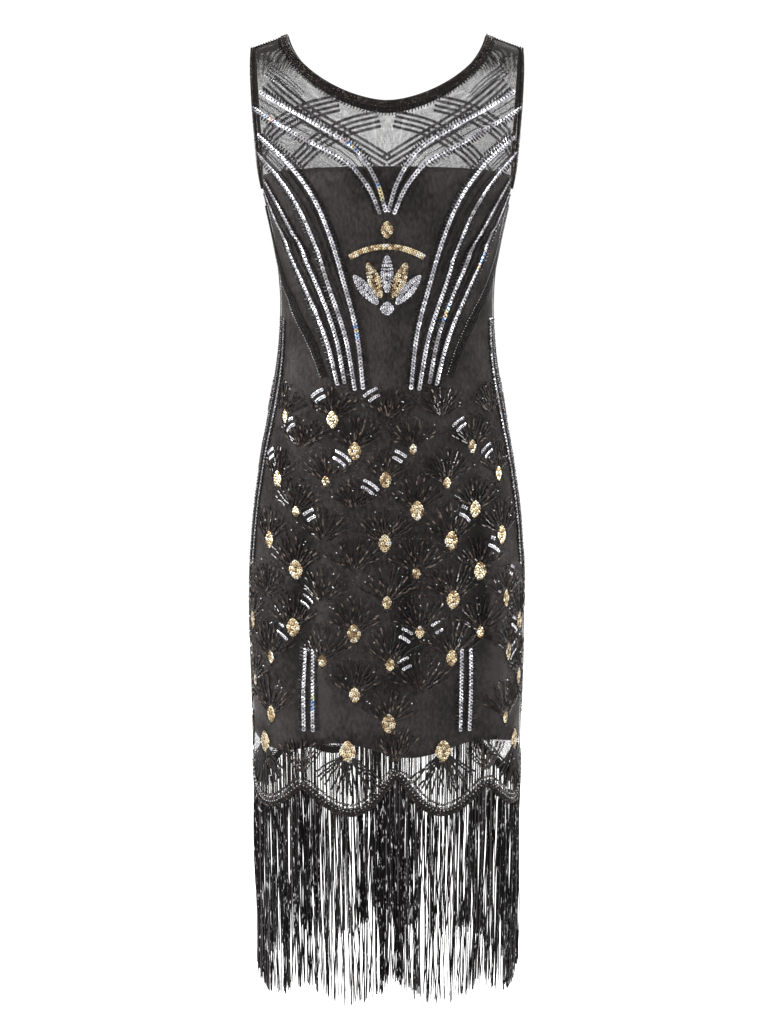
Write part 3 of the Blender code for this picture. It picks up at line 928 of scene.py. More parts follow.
def edge_points(facing, wanted):
    """The vertices on the edge of a net panel that pass a test, as an array."""
    bm = bmesh.new()
    bm.from_mesh(cloths["net_" + facing])
    found = [vert.co.copy() for vert in bm.verts if vert.is_boundary and wanted(vert.co)]
    bm.free()
    return np.array(found)


def by_turn(points, facing):
    """Points sorted round the figure."""
    return points[np.argsort([turn_from(facing, Vector(point)) for point in points])]


def neckline(facing):
    """The front's or back's part of the neckline, up to the tips of the shoulder seams."""
    line = by_turn(edge_points(facing, lambda co: abs(co.x) < NECK_REACH and co.z > NECK_LOWEST), facing)
    at_seam = np.abs(line[:, 1]) < SEAM_GAP
    return line[~at_seam | (np.abs(line[:, 0]) < min(np.abs(line[at_seam, 0])) + SEAM_END)]


def hemline(facing):
    """The front's or back's part of the hem, down to the tips of the side seams."""
    line = edge_points(facing, lambda co: co.z < HEM_LEVEL)
    at_seam = np.abs(line[:, 1]) < SEAM_GAP
    return by_turn(line[~at_seam | (line[:, 2] < min(line[at_seam, 2]) + SEAM_END)], facing)


def armhole(hand):
    """One armhole as a ring, front and back together."""
    points = np.vstack([
        edge_points(facing, lambda co: co.x * hand > ARMHOLE_INNER and co.z > UNDERARM) for facing in FACINGS
    ])
    tip = (np.abs(points[:, 1]) < SEAM_GAP) & (points[:, 2] > ARM_MIDDLE[1])
    points = points[~tip | (points[:, 0] * hand > max(points[tip, 0] * hand) - 2 * SEAM_END)]
    angles = np.arctan2(points[:, 1] - ARM_MIDDLE[0], points[:, 2] - ARM_MIDDLE[1])
    points = points[np.argsort(angles)]
    return np.roll(points, -np.argmax(points[:, 2]), axis=0)


def seam(hand, wanted):
    """The middle of the gap between two panels, from the top down (or from the neck outwards)."""
    points = edge_points("front", lambda co: co.x * hand > 0 and abs(co.y) < SEAM_GAP and wanted(co))
    points[:, 1] = 0
    return points[np.argsort(-points[:, 2] + np.abs(points[:, 0]) * (points[:, 2] > UNDERARM / 2))]


neck = np.vstack([neckline(facing) for facing in FACINGS])
hem = np.vstack([hemline(facing) for facing in FACINGS])
armholes = {name: armhole(hand) for name, hand in HAND.items()}
side_seams = {name: seam(hand, lambda co: co.z < SIDE_SEAM_TOP) for name, hand in HAND.items()}
shoulder_seams = {name: seam(hand, lambda co: co.z > SHOULDER_LEVEL) for name, hand in HAND.items()}
print("neckline", round(lengths_along(neck)[-1], 3), "m, hem", round(lengths_along(hem)[-1], 3), "m")
for kind, lines in (("armhole", armholes), ("side seam", side_seams), ("shoulder seam", shoulder_seams)):
    print(kind, {name: round(lengths_along(line)[-1], 3) for name, line in lines.items()}, "m")

# %% [markdown]
# ## Tapes on the edges
# Each edge is bound with a narrow black tape that carries the beads. A curve with a flat profile would make
# such a strip quickly, but it would have to be twisted at every bend to lie on the cloth. So a tape is a grid
# whose rows follow the edge at growing distances from it. They are found by stepping from the edge into the
# cloth and looking for the nearest place on the net. The middle rows stand a little higher, so that the tape
# is rounded. The side and shoulder seams are covered in the same way, by narrower tapes across them.

# %% Make the tapes
TAPE_WALL = 0.0008
# How far each row of a tape lies from the edge, and how far it stands out of the cloth
NECK_TAPE = ((-0.0008, 0.0), (0.0008, 0.0007), (0.003, 0.0011), (0.0075, 0.0011), (0.0095, 0.0005))
HEM_TAPE = ((-0.001, 0.0004), (0.001, 0.0010), (0.004, 0.0013), (0.0065, 0.0011), (0.0082, 0.0005))
ARMHOLE_TAPE = ((-0.0008, 0.0), (0.0006, 0.0007), (0.0028, 0.0010), (0.0055, 0.0005))
SIDE_TAPE = ((-0.0016, 0.0006), (0.0, 0.0007), (0.0016, 0.0006))
SHOULDER_TAPE = ((-0.002, 0.0006), (0.0, 0.0008), (0.002, 0.0006))


def beside(line, distance, inwards, closed=True):
    """The line at a distance from an edge, on the cloth, and the way out of the cloth there."""
    out = np.array([skin.find_nearest(point)[1] for point in line])
    ahead, behind = np.roll(line, -1, axis=0), np.roll(line, 1, axis=0)
    if not closed:
        ahead[-1], behind[0] = line[-1], line[0]
    moved = line + unit(np.cross(out, ahead - behind)) * inwards * distance
    found = [skin.find_nearest(point) for point in moved]
    normals = unit(np.array([normal for _, normal, _, _ in found]))
    if distance < 0:
        return moved, normals
    return np.array([point for point, _, _, _ in found]), normals


def bind(name, line, rows, inwards, closed=True):
    """A tape along an edge."""
    placed = []
    for distance, lift in rows:
        points, normals = beside(line, distance, inwards, closed)
        placed.append(points + normals * lift)
    placed = np.array(placed)
    if closed:
        placed = np.concatenate((placed, placed[:, :1]), axis=1)
    bm = bmesh.new()
    bmesh.ops.create_grid(bm, x_segments=placed.shape[1] - 1, y_segments=placed.shape[0] - 1, size=1)
    for vert, point in zip(bm.verts, placed.reshape(-1, 3)):
        vert.co = point
    bmesh.ops.remove_doubles(bm, verts=bm.verts, dist=MERGE)
    middle = bm.faces[:][len(bm.faces) // 2]
    if middle.normal.dot(skin.find_nearest(middle.calc_center_median())[1]) < 0:
        bmesh.ops.reverse_faces(bm, faces=bm.faces)
    mesh = to_mesh(name, bm)
    mesh.shade_smooth()
    piece = add_piece(name, mesh, ["band_tape"])
    add_wall(piece, TAPE_WALL, 0.0)
    return piece


neck = even_line(neck, 0.0034)
hem = even_line(hem, 0.0036)
armholes = {name: even_line(line, 0.0034) for name, line in armholes.items()}
tapes = {
    "neck_band": bind("neck_tape", neck, NECK_TAPE, -1),
    "hem_band": bind("hem_tape", hem, HEM_TAPE, 1),
}
for name, line in armholes.items():
    tapes["armhole_band_" + name] = bind("armhole_tape_" + name, line, ARMHOLE_TAPE, HAND[name])
for kind, lines, rows in (
    ("side_seam_", side_seams, SIDE_TAPE), ("shoulder_seam_", shoulder_seams, SHOULDER_TAPE)
):
    for name, line in lines.items():
        tapes[kind + name] = bind(kind + name, line, rows, HAND[name], closed=False)
print(len(tapes), "tapes")

# %% [markdown]
# ## Beads on the tapes
# Rows of seed beads cover the tapes. At the neck, a row of short bugles stands out below the tape like small
# teeth. The hem tape is narrower than its band: above it, slanted bugles lie like rope on the bare net, with
# small clear beads between the rows. Beads could be scattered over a band by chance, but they are sewn in
# rows, so each row is a line beside the edge that is walked in even steps.

# %% Bead the tapes
SEED_PITCH = 0.0021
ROPE_SLANT = 0.75
TOOTH_SLANT = 0.35


def bead_rows(line, inwards, rows, lift, closed=True):
    """Stitches along an edge, in rows that are each given by a distance from it and a pitch."""
    found = []
    for distance, pitch in rows:
        points, normals = beside(line, distance, inwards, closed)
        if closed:
            points, normals = np.vstack((points, points[:1])), np.vstack((normals, normals[:1]))
        found.append(walk(points, normals, pitch, lift))
    return np.concatenate(found)


marks = bead_rows(neck, -1, [(distance, SEED_PITCH) for distance in (0.0010, 0.0032, 0.0054, 0.0076)], 0.0012)
sew("neck_beads", SEED, unevenly(marks), "black_glass", 1.05)
teeth = rolled(bead_rows(neck, -1, [(0.0108, 0.0042)], 0.0004), yaw=math.pi / 2 + TOOTH_SLANT)
sew("neck_teeth", SHORT_BUGLE, unevenly(teeth, twist=0.3), "jet")
marks = [
    bead_rows(line, HAND[name], [(0.0010, SEED_PITCH), (0.0036, SEED_PITCH)], 0.0011)
    for name, line in armholes.items()
]
sew("armhole_beads", SEED, unevenly(np.concatenate(marks)), "black_glass")
marks = bead_rows(hem, 1, [(0.0012, 0.0024), (0.0036, 0.0024)], 0.0014)
sew("hem_beads", SEED, unevenly(marks), "black_glass", 1.1)
ropes = rolled(bead_rows(hem, 1, [(0.0092, 0.0031), (0.0142, 0.0031)], 0.0006), yaw=ROPE_SLANT)
sew("hem_ropes", SHORT_BUGLE, unevenly(ropes), "black_glass", 1.12)
marks = bead_rows(hem, 1, [(0.0063, 0.0049), (0.0117, 0.0067)], 0.0010)
sew("hem_dots", SEED, unevenly(marks), "clear_glass", 0.9)
marks = [
    bead_rows(line, HAND[name], [(0.0, 0.0033)], 0.0009, closed=False)
    for name, line in shoulder_seams.items()
]
sew("shoulder_beads", SEED, unevenly(np.concatenate(marks)), "black_glass", 0.9)

# %% [markdown]
# ## Ribbons of sequins
# The main ornament is a fountain in the geometric taste of the 1920s: ribbons rise from the waist and open
# out towards the armholes. A ribbon is two chains of overlapping silver sequins, two lines of black beads
# between them and short black bugles that stand out beyond them like teeth. Others are of beads alone: four
# black lines with a dotted edge of clear ones. On the back's yoke, bands of smoke-grey sequins cross in a
# lattice that shows through the net of the front. A ribbon could be drawn as a curve in the scene. A table
# of a few places on the flat pattern is easier to change and lies on the net by itself. Each table is one
# ribbon, and all are mirrored.

# %% The ribbons' courses
# Places on a ribbon's course: the distance from the middle, the height and the ribbon's width there
COLLAR = (
    (0.005, -0.212, 0.007), (0.018, -0.178, 0.012), (0.044, -0.144, 0.018), (0.086, -0.120, 0.022),
    (0.128, -0.098, 0.022), (0.166, -0.078, 0.021),
)
JET = (
    (0.034, -0.426, 0.010), (0.044, -0.360, 0.015), (0.062, -0.300, 0.020), (0.080, -0.246, 0.023),
    (0.102, -0.200, 0.025), (0.134, -0.162, 0.025), (0.174, -0.130, 0.023),
)
ARC = (
    (0.056, -0.420, 0.009), (0.069, -0.366, 0.013), (0.092, -0.312, 0.017), (0.122, -0.260, 0.020),
    (0.152, -0.218, 0.021), (0.184, -0.182, 0.019),
)
LOW_ARC = (
    (0.078, -0.412, 0.008), (0.096, -0.370, 0.011), (0.124, -0.330, 0.013), (0.155, -0.290, 0.014),
    (0.184, -0.250, 0.014), (0.202, -0.208, 0.013),
)
SIDE_FALL = (
    (0.158, -0.345, 0.010), (0.160, -0.395, 0.013), (0.172, -0.450, 0.016), (0.192, -0.520, 0.019),
    (0.206, -0.590, 0.020), (0.212, -0.650, 0.018),
)
SKIRT_FALL = ((0.099, -0.850, 0.012), (0.100, -0.800, 0.013), (0.100, -0.745, 0.012))
SHOULDER = ((0.106, -0.074, 0.012), (0.130, -0.056, 0.014), (0.158, -0.042, 0.014))
LATTICE = (
    ((0.062, -0.080, 0.019), (0.106, -0.092, 0.020), (0.150, -0.116, 0.020), (0.188, -0.152, 0.019)),
    ((0.010, -0.100, 0.019), (0.056, -0.113, 0.020), (0.104, -0.142, 0.020), (0.142, -0.184, 0.019)),
    ((0.000, -0.156, 0.019), (0.050, -0.126, 0.020), (0.100, -0.096, 0.020), (0.160, -0.054, 0.019)),
)
COURSES = {
    ("front", "sequinned"): (COLLAR, JET, ARC, SIDE_FALL, SKIRT_FALL),
    ("back", "sequinned"): (JET, ARC, SIDE_FALL, SKIRT_FALL),
    ("front", "beaded"): (SHOULDER, LOW_ARC),
    ("back", "beaded"): (LOW_ARC,),
    ("back", "lattice"): LATTICE,
}


def ribbon_line(course, mirror, share, extra):
    """One line of a ribbon: share is how far out it lies, from -1 to 1, and extra is further out, in m."""
    line = smooth_line(course)
    centre, width = line[:, :2] * (mirror, 1), line[:, 2]
    ahead = unit(np.gradient(centre, axis=0))
    across = np.stack((-ahead[:, 1], ahead[:, 0]), axis=1)
    return centre + across * (share * width / 2 + math.copysign(extra, share))[:, None]


def along_ribbons(facing, kind, shares, pitch, lift, extra=0.0):
    """Stitches on the same lines of every ribbon of a kind on the front or the back."""
    found = []
    for course in COURSES[facing, kind]:
        for mirror in (-1, 1):
            for share in shares:
                points, normals = drawn(facing, ribbon_line(course, mirror, share, extra))
                if len(points) > 1:
                    found.append(walk(points, normals, pitch, lift))
    return np.concatenate(found)


print(sum(len(courses) for courses in COURSES.values()) * 2, "ribbons")

# %% [markdown]
# ## Sewing the ribbons
# In a chain every sequin lies half over the next, so each is tilted a little, like a roof tile. Here and
# there a short run of them has a coloured shimmer, and other runs are dull and grey. Beads that would run
# into a chain are left out.

# %% Sew the ribbons
# How far sequins and beads lie above the net
FOIL_LIFT = 0.0009
BEAD_LIFT = 0.0003
CHAIN_PITCH = 0.0043
CHAIN_TILT = math.radians(9)
LATTICE_PITCH = 0.0037
SHIMMER = (0.009, 5)  # the share of the sequins that start a run of coloured ones, and its length
DULL = (0.022, 7)  # the same for runs that have lost their shine
BEAD_LINE_PITCH = 0.0027
DOT_PITCH = 0.0038
TOOTH_PITCH = 0.0044
TOOTH_REACH = 0.0046
TOOTH_YAW = math.pi / 2 - 0.3
# How much room these leave around the chains' sequins
DOT_ROOM = 0.004
TOOTH_ROOM = 0.0035
LATTICE_ROOM = 0.004


def overlapping(marks):
    """Sequins tilted like roof tiles, with a little chance in it."""
    pitch = CHAIN_TILT + chance.normal(0, 0.06, len(marks))
    return rolled(marks, pitch=pitch, yaw=chance.uniform(0, 0.7, len(marks)))


def runs_of(count, share, length):
    """Which stitches of a row lie in a run of that length; a share of them start one."""
    first = chance.random(count) < share
    return np.any([np.roll(first, step) for step in range(length)], axis=0)


chains = {}
for facing in FACINGS:
    chain = overlapping(along_ribbons(facing, "sequinned", (-1, 1), CHAIN_PITCH, FOIL_LIFT))
    chains[facing] = chain
    coloured = runs_of(len(chain), *SHIMMER)
    dull = runs_of(len(chain), *DULL) & ~coloured
    sew(f"silver_chains_{facing}", SEQUIN, chain[~coloured & ~dull], "silver_foil")
    sew(f"rainbow_sequins_{facing}", SEQUIN, chain[coloured], "rainbow_foil")
    sew(f"dull_sequins_{facing}", SEQUIN, chain[dull], "smoke_foil")
    lines = np.concatenate((
        along_ribbons(facing, "sequinned", (-0.36, 0.36), BEAD_LINE_PITCH, BEAD_LIFT),
        along_ribbons(facing, "beaded", (-0.75, -0.25, 0.25, 0.75), BEAD_LINE_PITCH, BEAD_LIFT),
    ))
    sew(f"ribbon_beads_{facing}", SEED, unevenly(lines), "jet", 1.3)
    dots = unevenly(along_ribbons(facing, "beaded", (1.1,), DOT_PITCH, BEAD_LIFT))
    sew(f"ribbon_dots_{facing}", SEED, clear_of(dots, chain, DOT_ROOM), "clear_glass", 0.8)
    teeth = np.concatenate([
        rolled(
            along_ribbons(facing, "sequinned", (side,), TOOTH_PITCH, BEAD_LIFT, TOOTH_REACH),
            yaw=side * TOOTH_YAW,
        )
        for side in (-1, 1)
    ])
    teeth = unevenly(clear_of(teeth, chain, TOOTH_ROOM), twist=0.2)
    sew(f"ribbon_teeth_{facing}", SHORT_BUGLE, teeth, "jet", 1.2)
lattice = overlapping(along_ribbons("back", "lattice", (-1, -0.34, 0.34, 1), LATTICE_PITCH, 0.0004))
lattice = clear_of(lattice, chains["back"], LATTICE_ROOM)
sew("yoke_lattice_back", SMALL_SEQUIN, lattice, "smoke_foil", 0.92)

# %% [markdown]
# ## Flat shapes
# A palmette at the bust and the fans of the skirt are drawn flat and laid on the net through the tape
# measure. Five helpers draw them: one sets places round the edge of a lozenge, one fills a lozenge with such
# rings of sequins, one sets places around a point, one turns places around a point, and one lays them down.

# %% Helpers for flat shapes
def outline_of(centre, half_sizes, count):
    """Places round the edge of a lozenge."""
    ring = np.linspace(0, math.tau, count, endpoint=False)
    x = np.sign(np.sin(ring)) * np.abs(np.sin(ring)) ** 1.33 * half_sizes[0]
    y = np.sign(np.cos(ring)) * np.abs(np.cos(ring)) ** 1.33 * half_sizes[1]
    return np.stack((centre[0] + x, centre[1] + y), axis=1)


def lozenge(centre, half_sizes, pitch=0.0034):
    """Places of sequins in rings that fill a lozenge with rounded sides."""
    rings = [np.array([centre])]
    inset = 0.45 * pitch
    while min(half_sizes) - inset > 0.35 * pitch:
        wide, tall = np.array(half_sizes) - inset
        rings.append(outline_of(centre, (wide, tall), int(4.3 * math.hypot(wide, tall) / pitch)))
        inset += 0.9 * pitch
    return np.concatenate(rings)


def around(centre, angles, distances):
    """Places around a point of the flat pattern; angles are from straight up."""
    return np.stack((centre[0] + np.sin(angles) * distances, centre[1] + np.cos(angles) * distances), axis=1)


def turned(places, centre, angle):
    """Places turned around a point, to the right of straight up."""
    x, y = (np.array(places) - centre).T
    return np.stack((
        centre[0] + x * math.cos(angle) + y * math.sin(angle),
        centre[1] + y * math.cos(angle) - x * math.sin(angle),
    ), axis=1)


def lay(facing, places, lift):
    """Stitches at given places of the flat pattern, with their forward direction up the cloth."""
    points, normals = drawn(facing, places)
    return stitches(points, normals, np.tile((0, 0, 1.0), (len(points), 1)), lift)


print("a lozenge of 17 x 24 mm takes", len(lozenge((0, 0), (0.0086, 0.0122))), "sequins")

# %% [markdown]
# ## A palmette at the bust
# Where the ribbons part, a small palmette fills the space: five lozenges of packed sequins, silver and gold
# in turn, spread like petals from a small silver one. An arc of gold with a single drop above it crowns them.
# One petal is packed upright and turned for its place, so all petals match. Seed beads outline the petals,
# the arc and the drop.

# %% Sew the palmette
FOOT = (0, -0.336)
PETAL_ANGLES = np.radians((-40, -20, 0, 20, 40))
PETAL = (0.0074, 0.0225)
PETAL_REACH = (0.040, 0.045, 0.050, 0.045, 0.040)
ARC_REACH = 0.083
ARC_HALF_WIDTH = 0.0017
ARC_OUTLINE = 0.0048
DROP = (0, -0.2325)
DROP_SIZE = (0.0070, 0.0100)
OUTLINE_GAP = 0.0024

for facing in FACINGS:
    metals = {"gold": [], "silver": []}
    beads = []
    for number, (angle, reach) in enumerate(zip(PETAL_ANGLES, PETAL_REACH)):
        middle = (FOOT[0], FOOT[1] + reach)
        metals["gold" if number % 2 else "silver"].append(turned(lozenge(middle, PETAL), FOOT, angle))
        beads.append(turned(outline_of(middle, np.array(PETAL) + OUTLINE_GAP, 34), FOOT, angle))
    for side in (-1, 1):
        metals["gold"].append(around(FOOT, np.linspace(-0.55, 0.55, 27), ARC_REACH + side * ARC_HALF_WIDTH))
        beads.append(around(FOOT, np.linspace(-0.60, 0.60, 46), ARC_REACH + side * ARC_OUTLINE))
    metals["gold"].append(lozenge(DROP, DROP_SIZE))
    beads.append(outline_of(DROP, np.array(DROP_SIZE) + OUTLINE_GAP, 24))
    metals["silver"].append(lozenge((FOOT[0], FOOT[1] + 0.008), (0.0080, 0.0080)))
    for metal, places in metals.items():
        marks = overlapping(lay(facing, np.concatenate(places), FOIL_LIFT))
        sew(f"palmette_{metal}_{facing}", SMALL_SEQUIN, marks, metal + "_foil", 0.88)
    marks = unevenly(lay(facing, np.concatenate(beads), BEAD_LIFT))
    sew(f"palmette_beads_{facing}", SEED, marks, "black_glass", 0.85)

# %% [markdown]
# ## Fans on the skirt
# The skirt is covered with a half-drop repeat of fans, a common pattern of the time. Most fans have a small
# gold lozenge of sequins at the foot, and all have rays of black bugles and a scalloped rim of black seed
# beads. A fan nearly touches its neighbours. The columns are given as shares of the panel, so that they draw
# together towards the waist, and the fans grow towards the hem. In the sheer hem of the front, fans hang
# down in the scallops, and others rise from the points between them. The back's sheer hem has the lozenges
# alone.

# %% Place the fans
FAN_ROWS = 12
FAN_FOOT = -0.874
FAN_STEP = 0.0375
FAN_SCATTER = 0.0025
FAN_SIZES = (1.0, 0.70)  # at the hem and at the waist
HEM_COLUMNS = (-0.75, -0.25, 0.25, 0.75)
POINT_COLUMNS = (-1.0, -0.5, 0.0, 0.5, 1.0)
POINT_HEIGHT = 0.018
EVEN_COLUMNS = np.arange(-5, 6, 2) / 6
ODD_COLUMNS = np.arange(-6, 7, 2) / 6
HEM_SHIFT = {"front": 0.045, "back": -0.03}  # the scallops aren't quite in the middle of the panel
hem_of = {
    facing: by_turn(np.array([point for point in hem if (point[1] < 0) == (facing == "front")]), facing)
    for facing in FACINGS
}
hem_profile = {}
for facing, line in hem_of.items():
    turns = [turn_from(facing, Vector(point)) for point in line]
    hem_profile[facing] = (np.interp(turns, GIRTH_TURNS, girths[facing][0]), line[:, 2])


def near_hem(facing, column):
    """How far from the middle a column of the hem's scallops lies."""
    return (column + HEM_SHIFT[facing] * (1 - column**4)) * half_girth(facing, FAN_FOOT)


fans = []
for facing in FACINGS:
    kind = "hanging" if facing == "front" else "bare"
    fans += [(facing, kind, near_hem(facing, column), FAN_FOOT, 1.0) for column in HEM_COLUMNS]
    for column in POINT_COLUMNS if facing == "front" else ():
        along = near_hem(facing, column)
        fans.append((facing, "rising", along, np.interp(along, *hem_profile[facing]) + POINT_HEIGHT, 1.0))
    for row in range(1, FAN_ROWS):
        height = FAN_FOOT + row * FAN_STEP
        for column in EVEN_COLUMNS if row % 2 == 0 else ODD_COLUMNS:
            if abs(column) == 1 and facing == "back":
                continue
            along = column * half_girth(facing, height) + chance.normal(0, FAN_SCATTER)
            size = np.interp(row, (0, FAN_ROWS), FAN_SIZES) * chance.normal(1, 0.04)
            fans.append((facing, "skirt", along, height + chance.normal(0, FAN_SCATTER), size))
print(len(fans), "fans")

# %% [markdown]
# ## One fan
# A ray of a fan is a row of bugles that starts just outside the lozenge and runs straight outwards on the
# flat pattern. One fan could be modelled and copied, but then all would be alike. Each is drawn anew
# instead, with rays that end at lengths of their own, as they do in sewing by hand.

# %% Draw one fan
# Each kind's rays, its spread to each side in degrees, reach, pitch of its bugles, and if it opens upwards
FAN_KINDS = {
    "skirt": (13, 62, 0.050, 0.0047, True),
    "hanging": (15, 56, 0.055, 0.0104, False),
    "rising": (15, 40, 0.046, 0.0047, True),
    "bare": (0, 0, 0, 0, True),
}
RAY_GAP = 0.0042  # between the lozenge and the middle of a ray's first bugle
RAY_SCATTER = 0.035
HEM_ROOM = 0.019  # rays that hang stop this far above the hem


def lozenge_edge(angle, half_sizes):
    """How far the edge of a lozenge lies from its middle at an angle."""
    wide, tall = half_sizes
    return (abs(math.sin(angle) / wide) ** 1.5 + abs(math.cos(angle) / tall) ** 1.5) ** (-1 / 1.5)


def rays_of(facing, centre, kind, half_sizes, size):
    """Stitches of the bugles of one fan."""
    rays, spread, reach, pitch, upwards = FAN_KINDS[kind]
    marks = []
    for angle in np.radians(np.linspace(-spread, spread, rays)) + chance.normal(0, RAY_SCATTER, rays):
        start = lozenge_edge(angle, half_sizes) + RAY_GAP + chance.uniform(0, 0.0015)
        far = reach * size * (0.80 + 0.20 * math.cos(angle)) * chance.uniform(0.93, 1.05)
        places = around(centre, angle + (0 if upwards else math.pi), np.arange(start, far, pitch))
        if not upwards:
            places = places[places[:, 1] > np.interp(places[:, 0], *hem_profile[facing]) + HEM_ROOM]
        points, normals = drawn(facing, places)
        if len(points) > 1:
            marks.append(stitches(points, normals, np.gradient(points, axis=0), 0.0004))
    return marks


print("hem runs from", round(float(hem[:, 2].min()), 3), "to", round(float(hem[:, 2].max()), 3), "m")

# %% [markdown]
# ## Sewing the fans
# The gold and silver are placed first, and the bugles then leave room for them. Small clear beads are
# scattered near the rims, and a few fans have a pair of short silver dashes at one side. A fan whose foot
# would lie on a chain of sequins is left out.

# %% Sew the fans
CHAIN_ROOM = 0.0125  # a fan whose foot lies closer to a chain is left out
LOZENGE = (0.0086, 0.0122)
LOZENGE_SIZES = (0.66, 0.84, 1.06)
HEM_LOZENGE_SIZE = 1.15
UNFOOTED_SHARE = 0.18  # of the skirt's fans have no lozenge at their foot
UNFOOTED_SIZE = 0.2  # their rays start as if round a lozenge of this share of the size
LOZENGE_OUTLINE_GAP = 0.0023
FAN_REACH = 0.050
RIM = np.linspace(-1.08, 1.08, 26)
RIM_REACHES = FAN_REACH * (1.05 + 0.04 * np.cos(RIM * math.tau * 6 / 2.16))  # with six small scallops
DASH_SHARE = 0.36
DASH_REACHES = (0.78, 1.00)
# How much room each kind leaves around the metal that is already there
DASH_ROOM = 0.0055
SPECK_ROOM = 0.004
BUGLE_ROOM = 0.0034
SEED_ROOM = 0.0022

for facing in FACINGS:
    gold, silver, clear, edges, bugles, sprays = [], [], [], [], [], []
    for side, kind, along, height, size in fans:
        centre = (along, height)
        if side != facing or not len(clear_of(lay(facing, [centre], 0), chains[facing], CHAIN_ROOM)):
            continue
        share = chance.choice(LOZENGE_SIZES) if kind == "skirt" else HEM_LOZENGE_SIZE
        half_sizes = np.array(LOZENGE) * size * share
        if kind == "rising" or (kind == "skirt" and chance.random() < UNFOOTED_SHARE):
            half_sizes = half_sizes * UNFOOTED_SIZE
        else:
            gold.append(lozenge(centre, half_sizes))
            edges.append(outline_of(centre, half_sizes + LOZENGE_OUTLINE_GAP, 26))
        (sprays if kind == "hanging" else bugles).extend(rays_of(facing, centre, kind, half_sizes, size))
        if kind != "skirt":
            continue
        edges.append(around(centre, RIM, RIM_REACHES * size))
        angles = chance.uniform(-1.1, 1.1, 3)
        clear.append(around(centre, angles, FAN_REACH * size * chance.uniform(0.5, 1.1, 3)))
        if chance.random() < DASH_SHARE:
            dash = chance.choice((-1, 1)) * (0.36 + np.arange(chance.integers(3, 8)) * 0.082)
            silver += [around(centre, dash, FAN_REACH * size * reach) for reach in DASH_REACHES]
    lozenges = lay(facing, np.concatenate(gold), FOIL_LIFT)
    metal = np.concatenate((lozenges, chains[facing]))
    dashes = clear_of(lay(facing, np.concatenate(silver), FOIL_LIFT), metal, DASH_ROOM)
    sew(f"silver_dashes_{facing}", SMALL_SEQUIN, overlapping(dashes), "silver_foil", 0.9)
    sew(f"gold_lozenges_{facing}", SMALL_SEQUIN, overlapping(lozenges), "gold_foil", 0.92)
    metal = np.concatenate((dashes, metal))
    specks = clear_of(unevenly(lay(facing, np.concatenate(clear), BEAD_LIFT)), metal, SPECK_ROOM)
    sew(f"fan_specks_{facing}", SEED, specks, "clear_glass", 1.05)
    metal = np.concatenate((metal, specks))
    short = clear_of(unevenly(np.concatenate(bugles), 0.0005, 0.18), metal, BUGLE_ROOM)
    sew(f"fan_bugles_{facing}", SHORT_BUGLE, short, "black_glass", 1.1)
    if sprays:
        long = clear_of(unevenly(np.concatenate(sprays), 0.0004, 0.14), metal, BUGLE_ROOM)
        sew(f"hem_sprays_{facing}", BUGLE, long, "jet", 1.6)
    seeds = clear_of(unevenly(lay(facing, np.concatenate(edges), BEAD_LIFT), 0.0003), metal, SEED_ROOM)
    sew(f"fan_seeds_{facing}", SEED, seeds, "black_glass")

# %% [markdown]
# ## The fringe
# The fringe is made of long thin cords that hang from the hem band. They are round, slightly wavy, uneven in
# length and gather in loose locks. Hair particles could make them, but they would be lost when the dress is
# exported as meshes. So one cord is modelled as a three-sided tube that is divided along its length, and
# numpy bends a copy of it along every cord's own path.

# %% Model one cord
CORD_CUTS = 15


def cord_template():
    """A three-sided tube, 1 long and 1 in radius, cut across into short stretches."""
    bm = bmesh.new()
    bmesh.ops.create_cone(bm, cap_ends=True, segments=3, radius1=1, radius2=1, depth=1)
    upright = [edge for edge in bm.edges if abs(edge.verts[0].co.z - edge.verts[1].co.z) > 0.5]
    bmesh.ops.subdivide_edges(bm, edges=upright, cuts=CORD_CUTS)
    bmesh.ops.triangulate(bm, faces=[face for face in bm.faces if len(face.verts) > 4])
    return shape_of(bm, smooth=True)


CORD = cord_template()
print("a cord has", len(CORD[1]), "faces")

# %% [markdown]
# ## Hanging the fringe
# The roots are crowded at the points between the scallops, where the cords of two scallops meet, and those
# that hang from higher up are longer, so that the tips end nearly level. Each cord is drawn a little
# towards its lock, bows by chance and hangs from its root under its own weight.

# %% Hang the fringe
CORDS = {"front": 420, "back": 300}
CORD_LENGTH = 0.238
CORD_RADIUS = 0.00086
LOWEST_HEM = -0.956
SCALLOP_DEPTH = 0.05
CROWDING = 1.3
EVENING = 0.28  # share of a root's height above the lowest hem that is added to its cord
LENGTH_SCATTER = 0.0036
ROOT_STEP = 0.0008
LOCKS = 15
LOCK_PULL = (0.05, 0.5)  # share of the way to the middle of its lock that a cord's tip moves
BOW = 0.0022
THICKNESSES = (0.8, 1.15)
TIP_TAPER = ((0, 0.97, 1), (1, 0.95, 0.7))


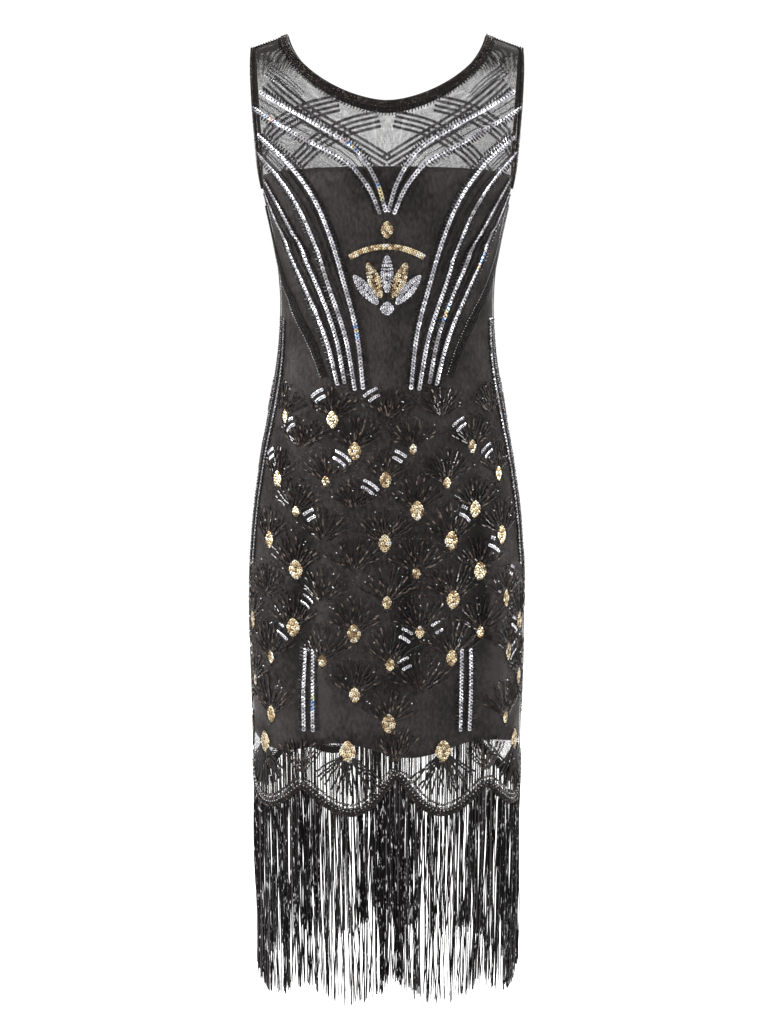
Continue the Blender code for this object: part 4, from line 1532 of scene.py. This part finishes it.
def hang(facing):
    """Every cord's points, as an array of cords, template points and coordinates."""
    line = even_line(hem_of[facing], ROOT_STEP, closed=False)
    count = CORDS[facing]
    crowding = 1 + CROWDING * np.clip((line[:, 2] - LOWEST_HEM) / SCALLOP_DEPTH, 0, 1) ** 1.5
    share = np.cumsum(crowding) / np.sum(crowding)
    even = np.clip((np.arange(count) + chance.normal(0.5, 0.55, count)) / count, 0, 1)
    place = np.sort(np.interp(even, share, np.linspace(0, 1, len(line))))
    roots = line[(place * (len(line) - 1)).astype(int)]
    outward = unit(roots * (1, 1, 0))
    sideways = np.stack((-outward[:, 1], outward[:, 0], np.zeros(count)), axis=1)
    length = CORD_LENGTH + EVENING * (roots[:, 2] - LOWEST_HEM) + chance.normal(0.004, LENGTH_SCATTER, count)
    lock = np.round(place * LOCKS + chance.normal(0, 0.25, count))
    gather = (lock / LOCKS - place) * len(line) * ROOT_STEP * chance.uniform(*LOCK_PULL, count)
    gather += chance.normal(0, 0.0035, count)
    bow = chance.normal(0, BOW, (count, 2))[:, :, None]
    phase = chance.uniform(0, math.tau, (count, 2))[:, :, None]
    points = CORD[0]
    down = 0.5 - points[:, 2]
    sway = bow[:, 0] * np.sin(math.pi * 1.5 * down + phase[:, 0]) * down**0.5
    swing = bow[:, 1] * np.sin(math.pi * 1.2 * down + phase[:, 1]) * down**0.5
    aside = gather[:, None] * down**1.4 + sway
    out = swing - 0.004 * down + chance.uniform(-0.0012, 0.0016, count)[:, None]
    radius = CORD_RADIUS * chance.uniform(*THICKNESSES, count)[:, None] * np.interp(down, *TIP_TAPER)
    turn = chance.uniform(0, math.tau, count)[:, None]
    x = points[:, 0] * np.cos(turn) - points[:, 1] * np.sin(turn)
    y = points[:, 0] * np.sin(turn) + points[:, 1] * np.cos(turn)
    placed = roots[:, None] + outward[:, None] * (out + x * radius)[..., None]
    placed += sideways[:, None] * (aside + y * radius)[..., None]
    placed[..., 2] -= length[:, None] * down
    return placed


for facing in FACINGS:
    join_copies(f"fringe_cords_{facing}", CORD, hang(facing), "fringe_cord")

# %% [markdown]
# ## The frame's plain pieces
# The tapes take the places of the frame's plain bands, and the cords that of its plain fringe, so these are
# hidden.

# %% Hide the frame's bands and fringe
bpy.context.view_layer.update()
for band in ("neck_band", "armhole_band_left", "armhole_band_right"):
    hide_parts(band)
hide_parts("fringe_front", "fringe_back")
print(sum(sewn.values()), "triangles sewn on")
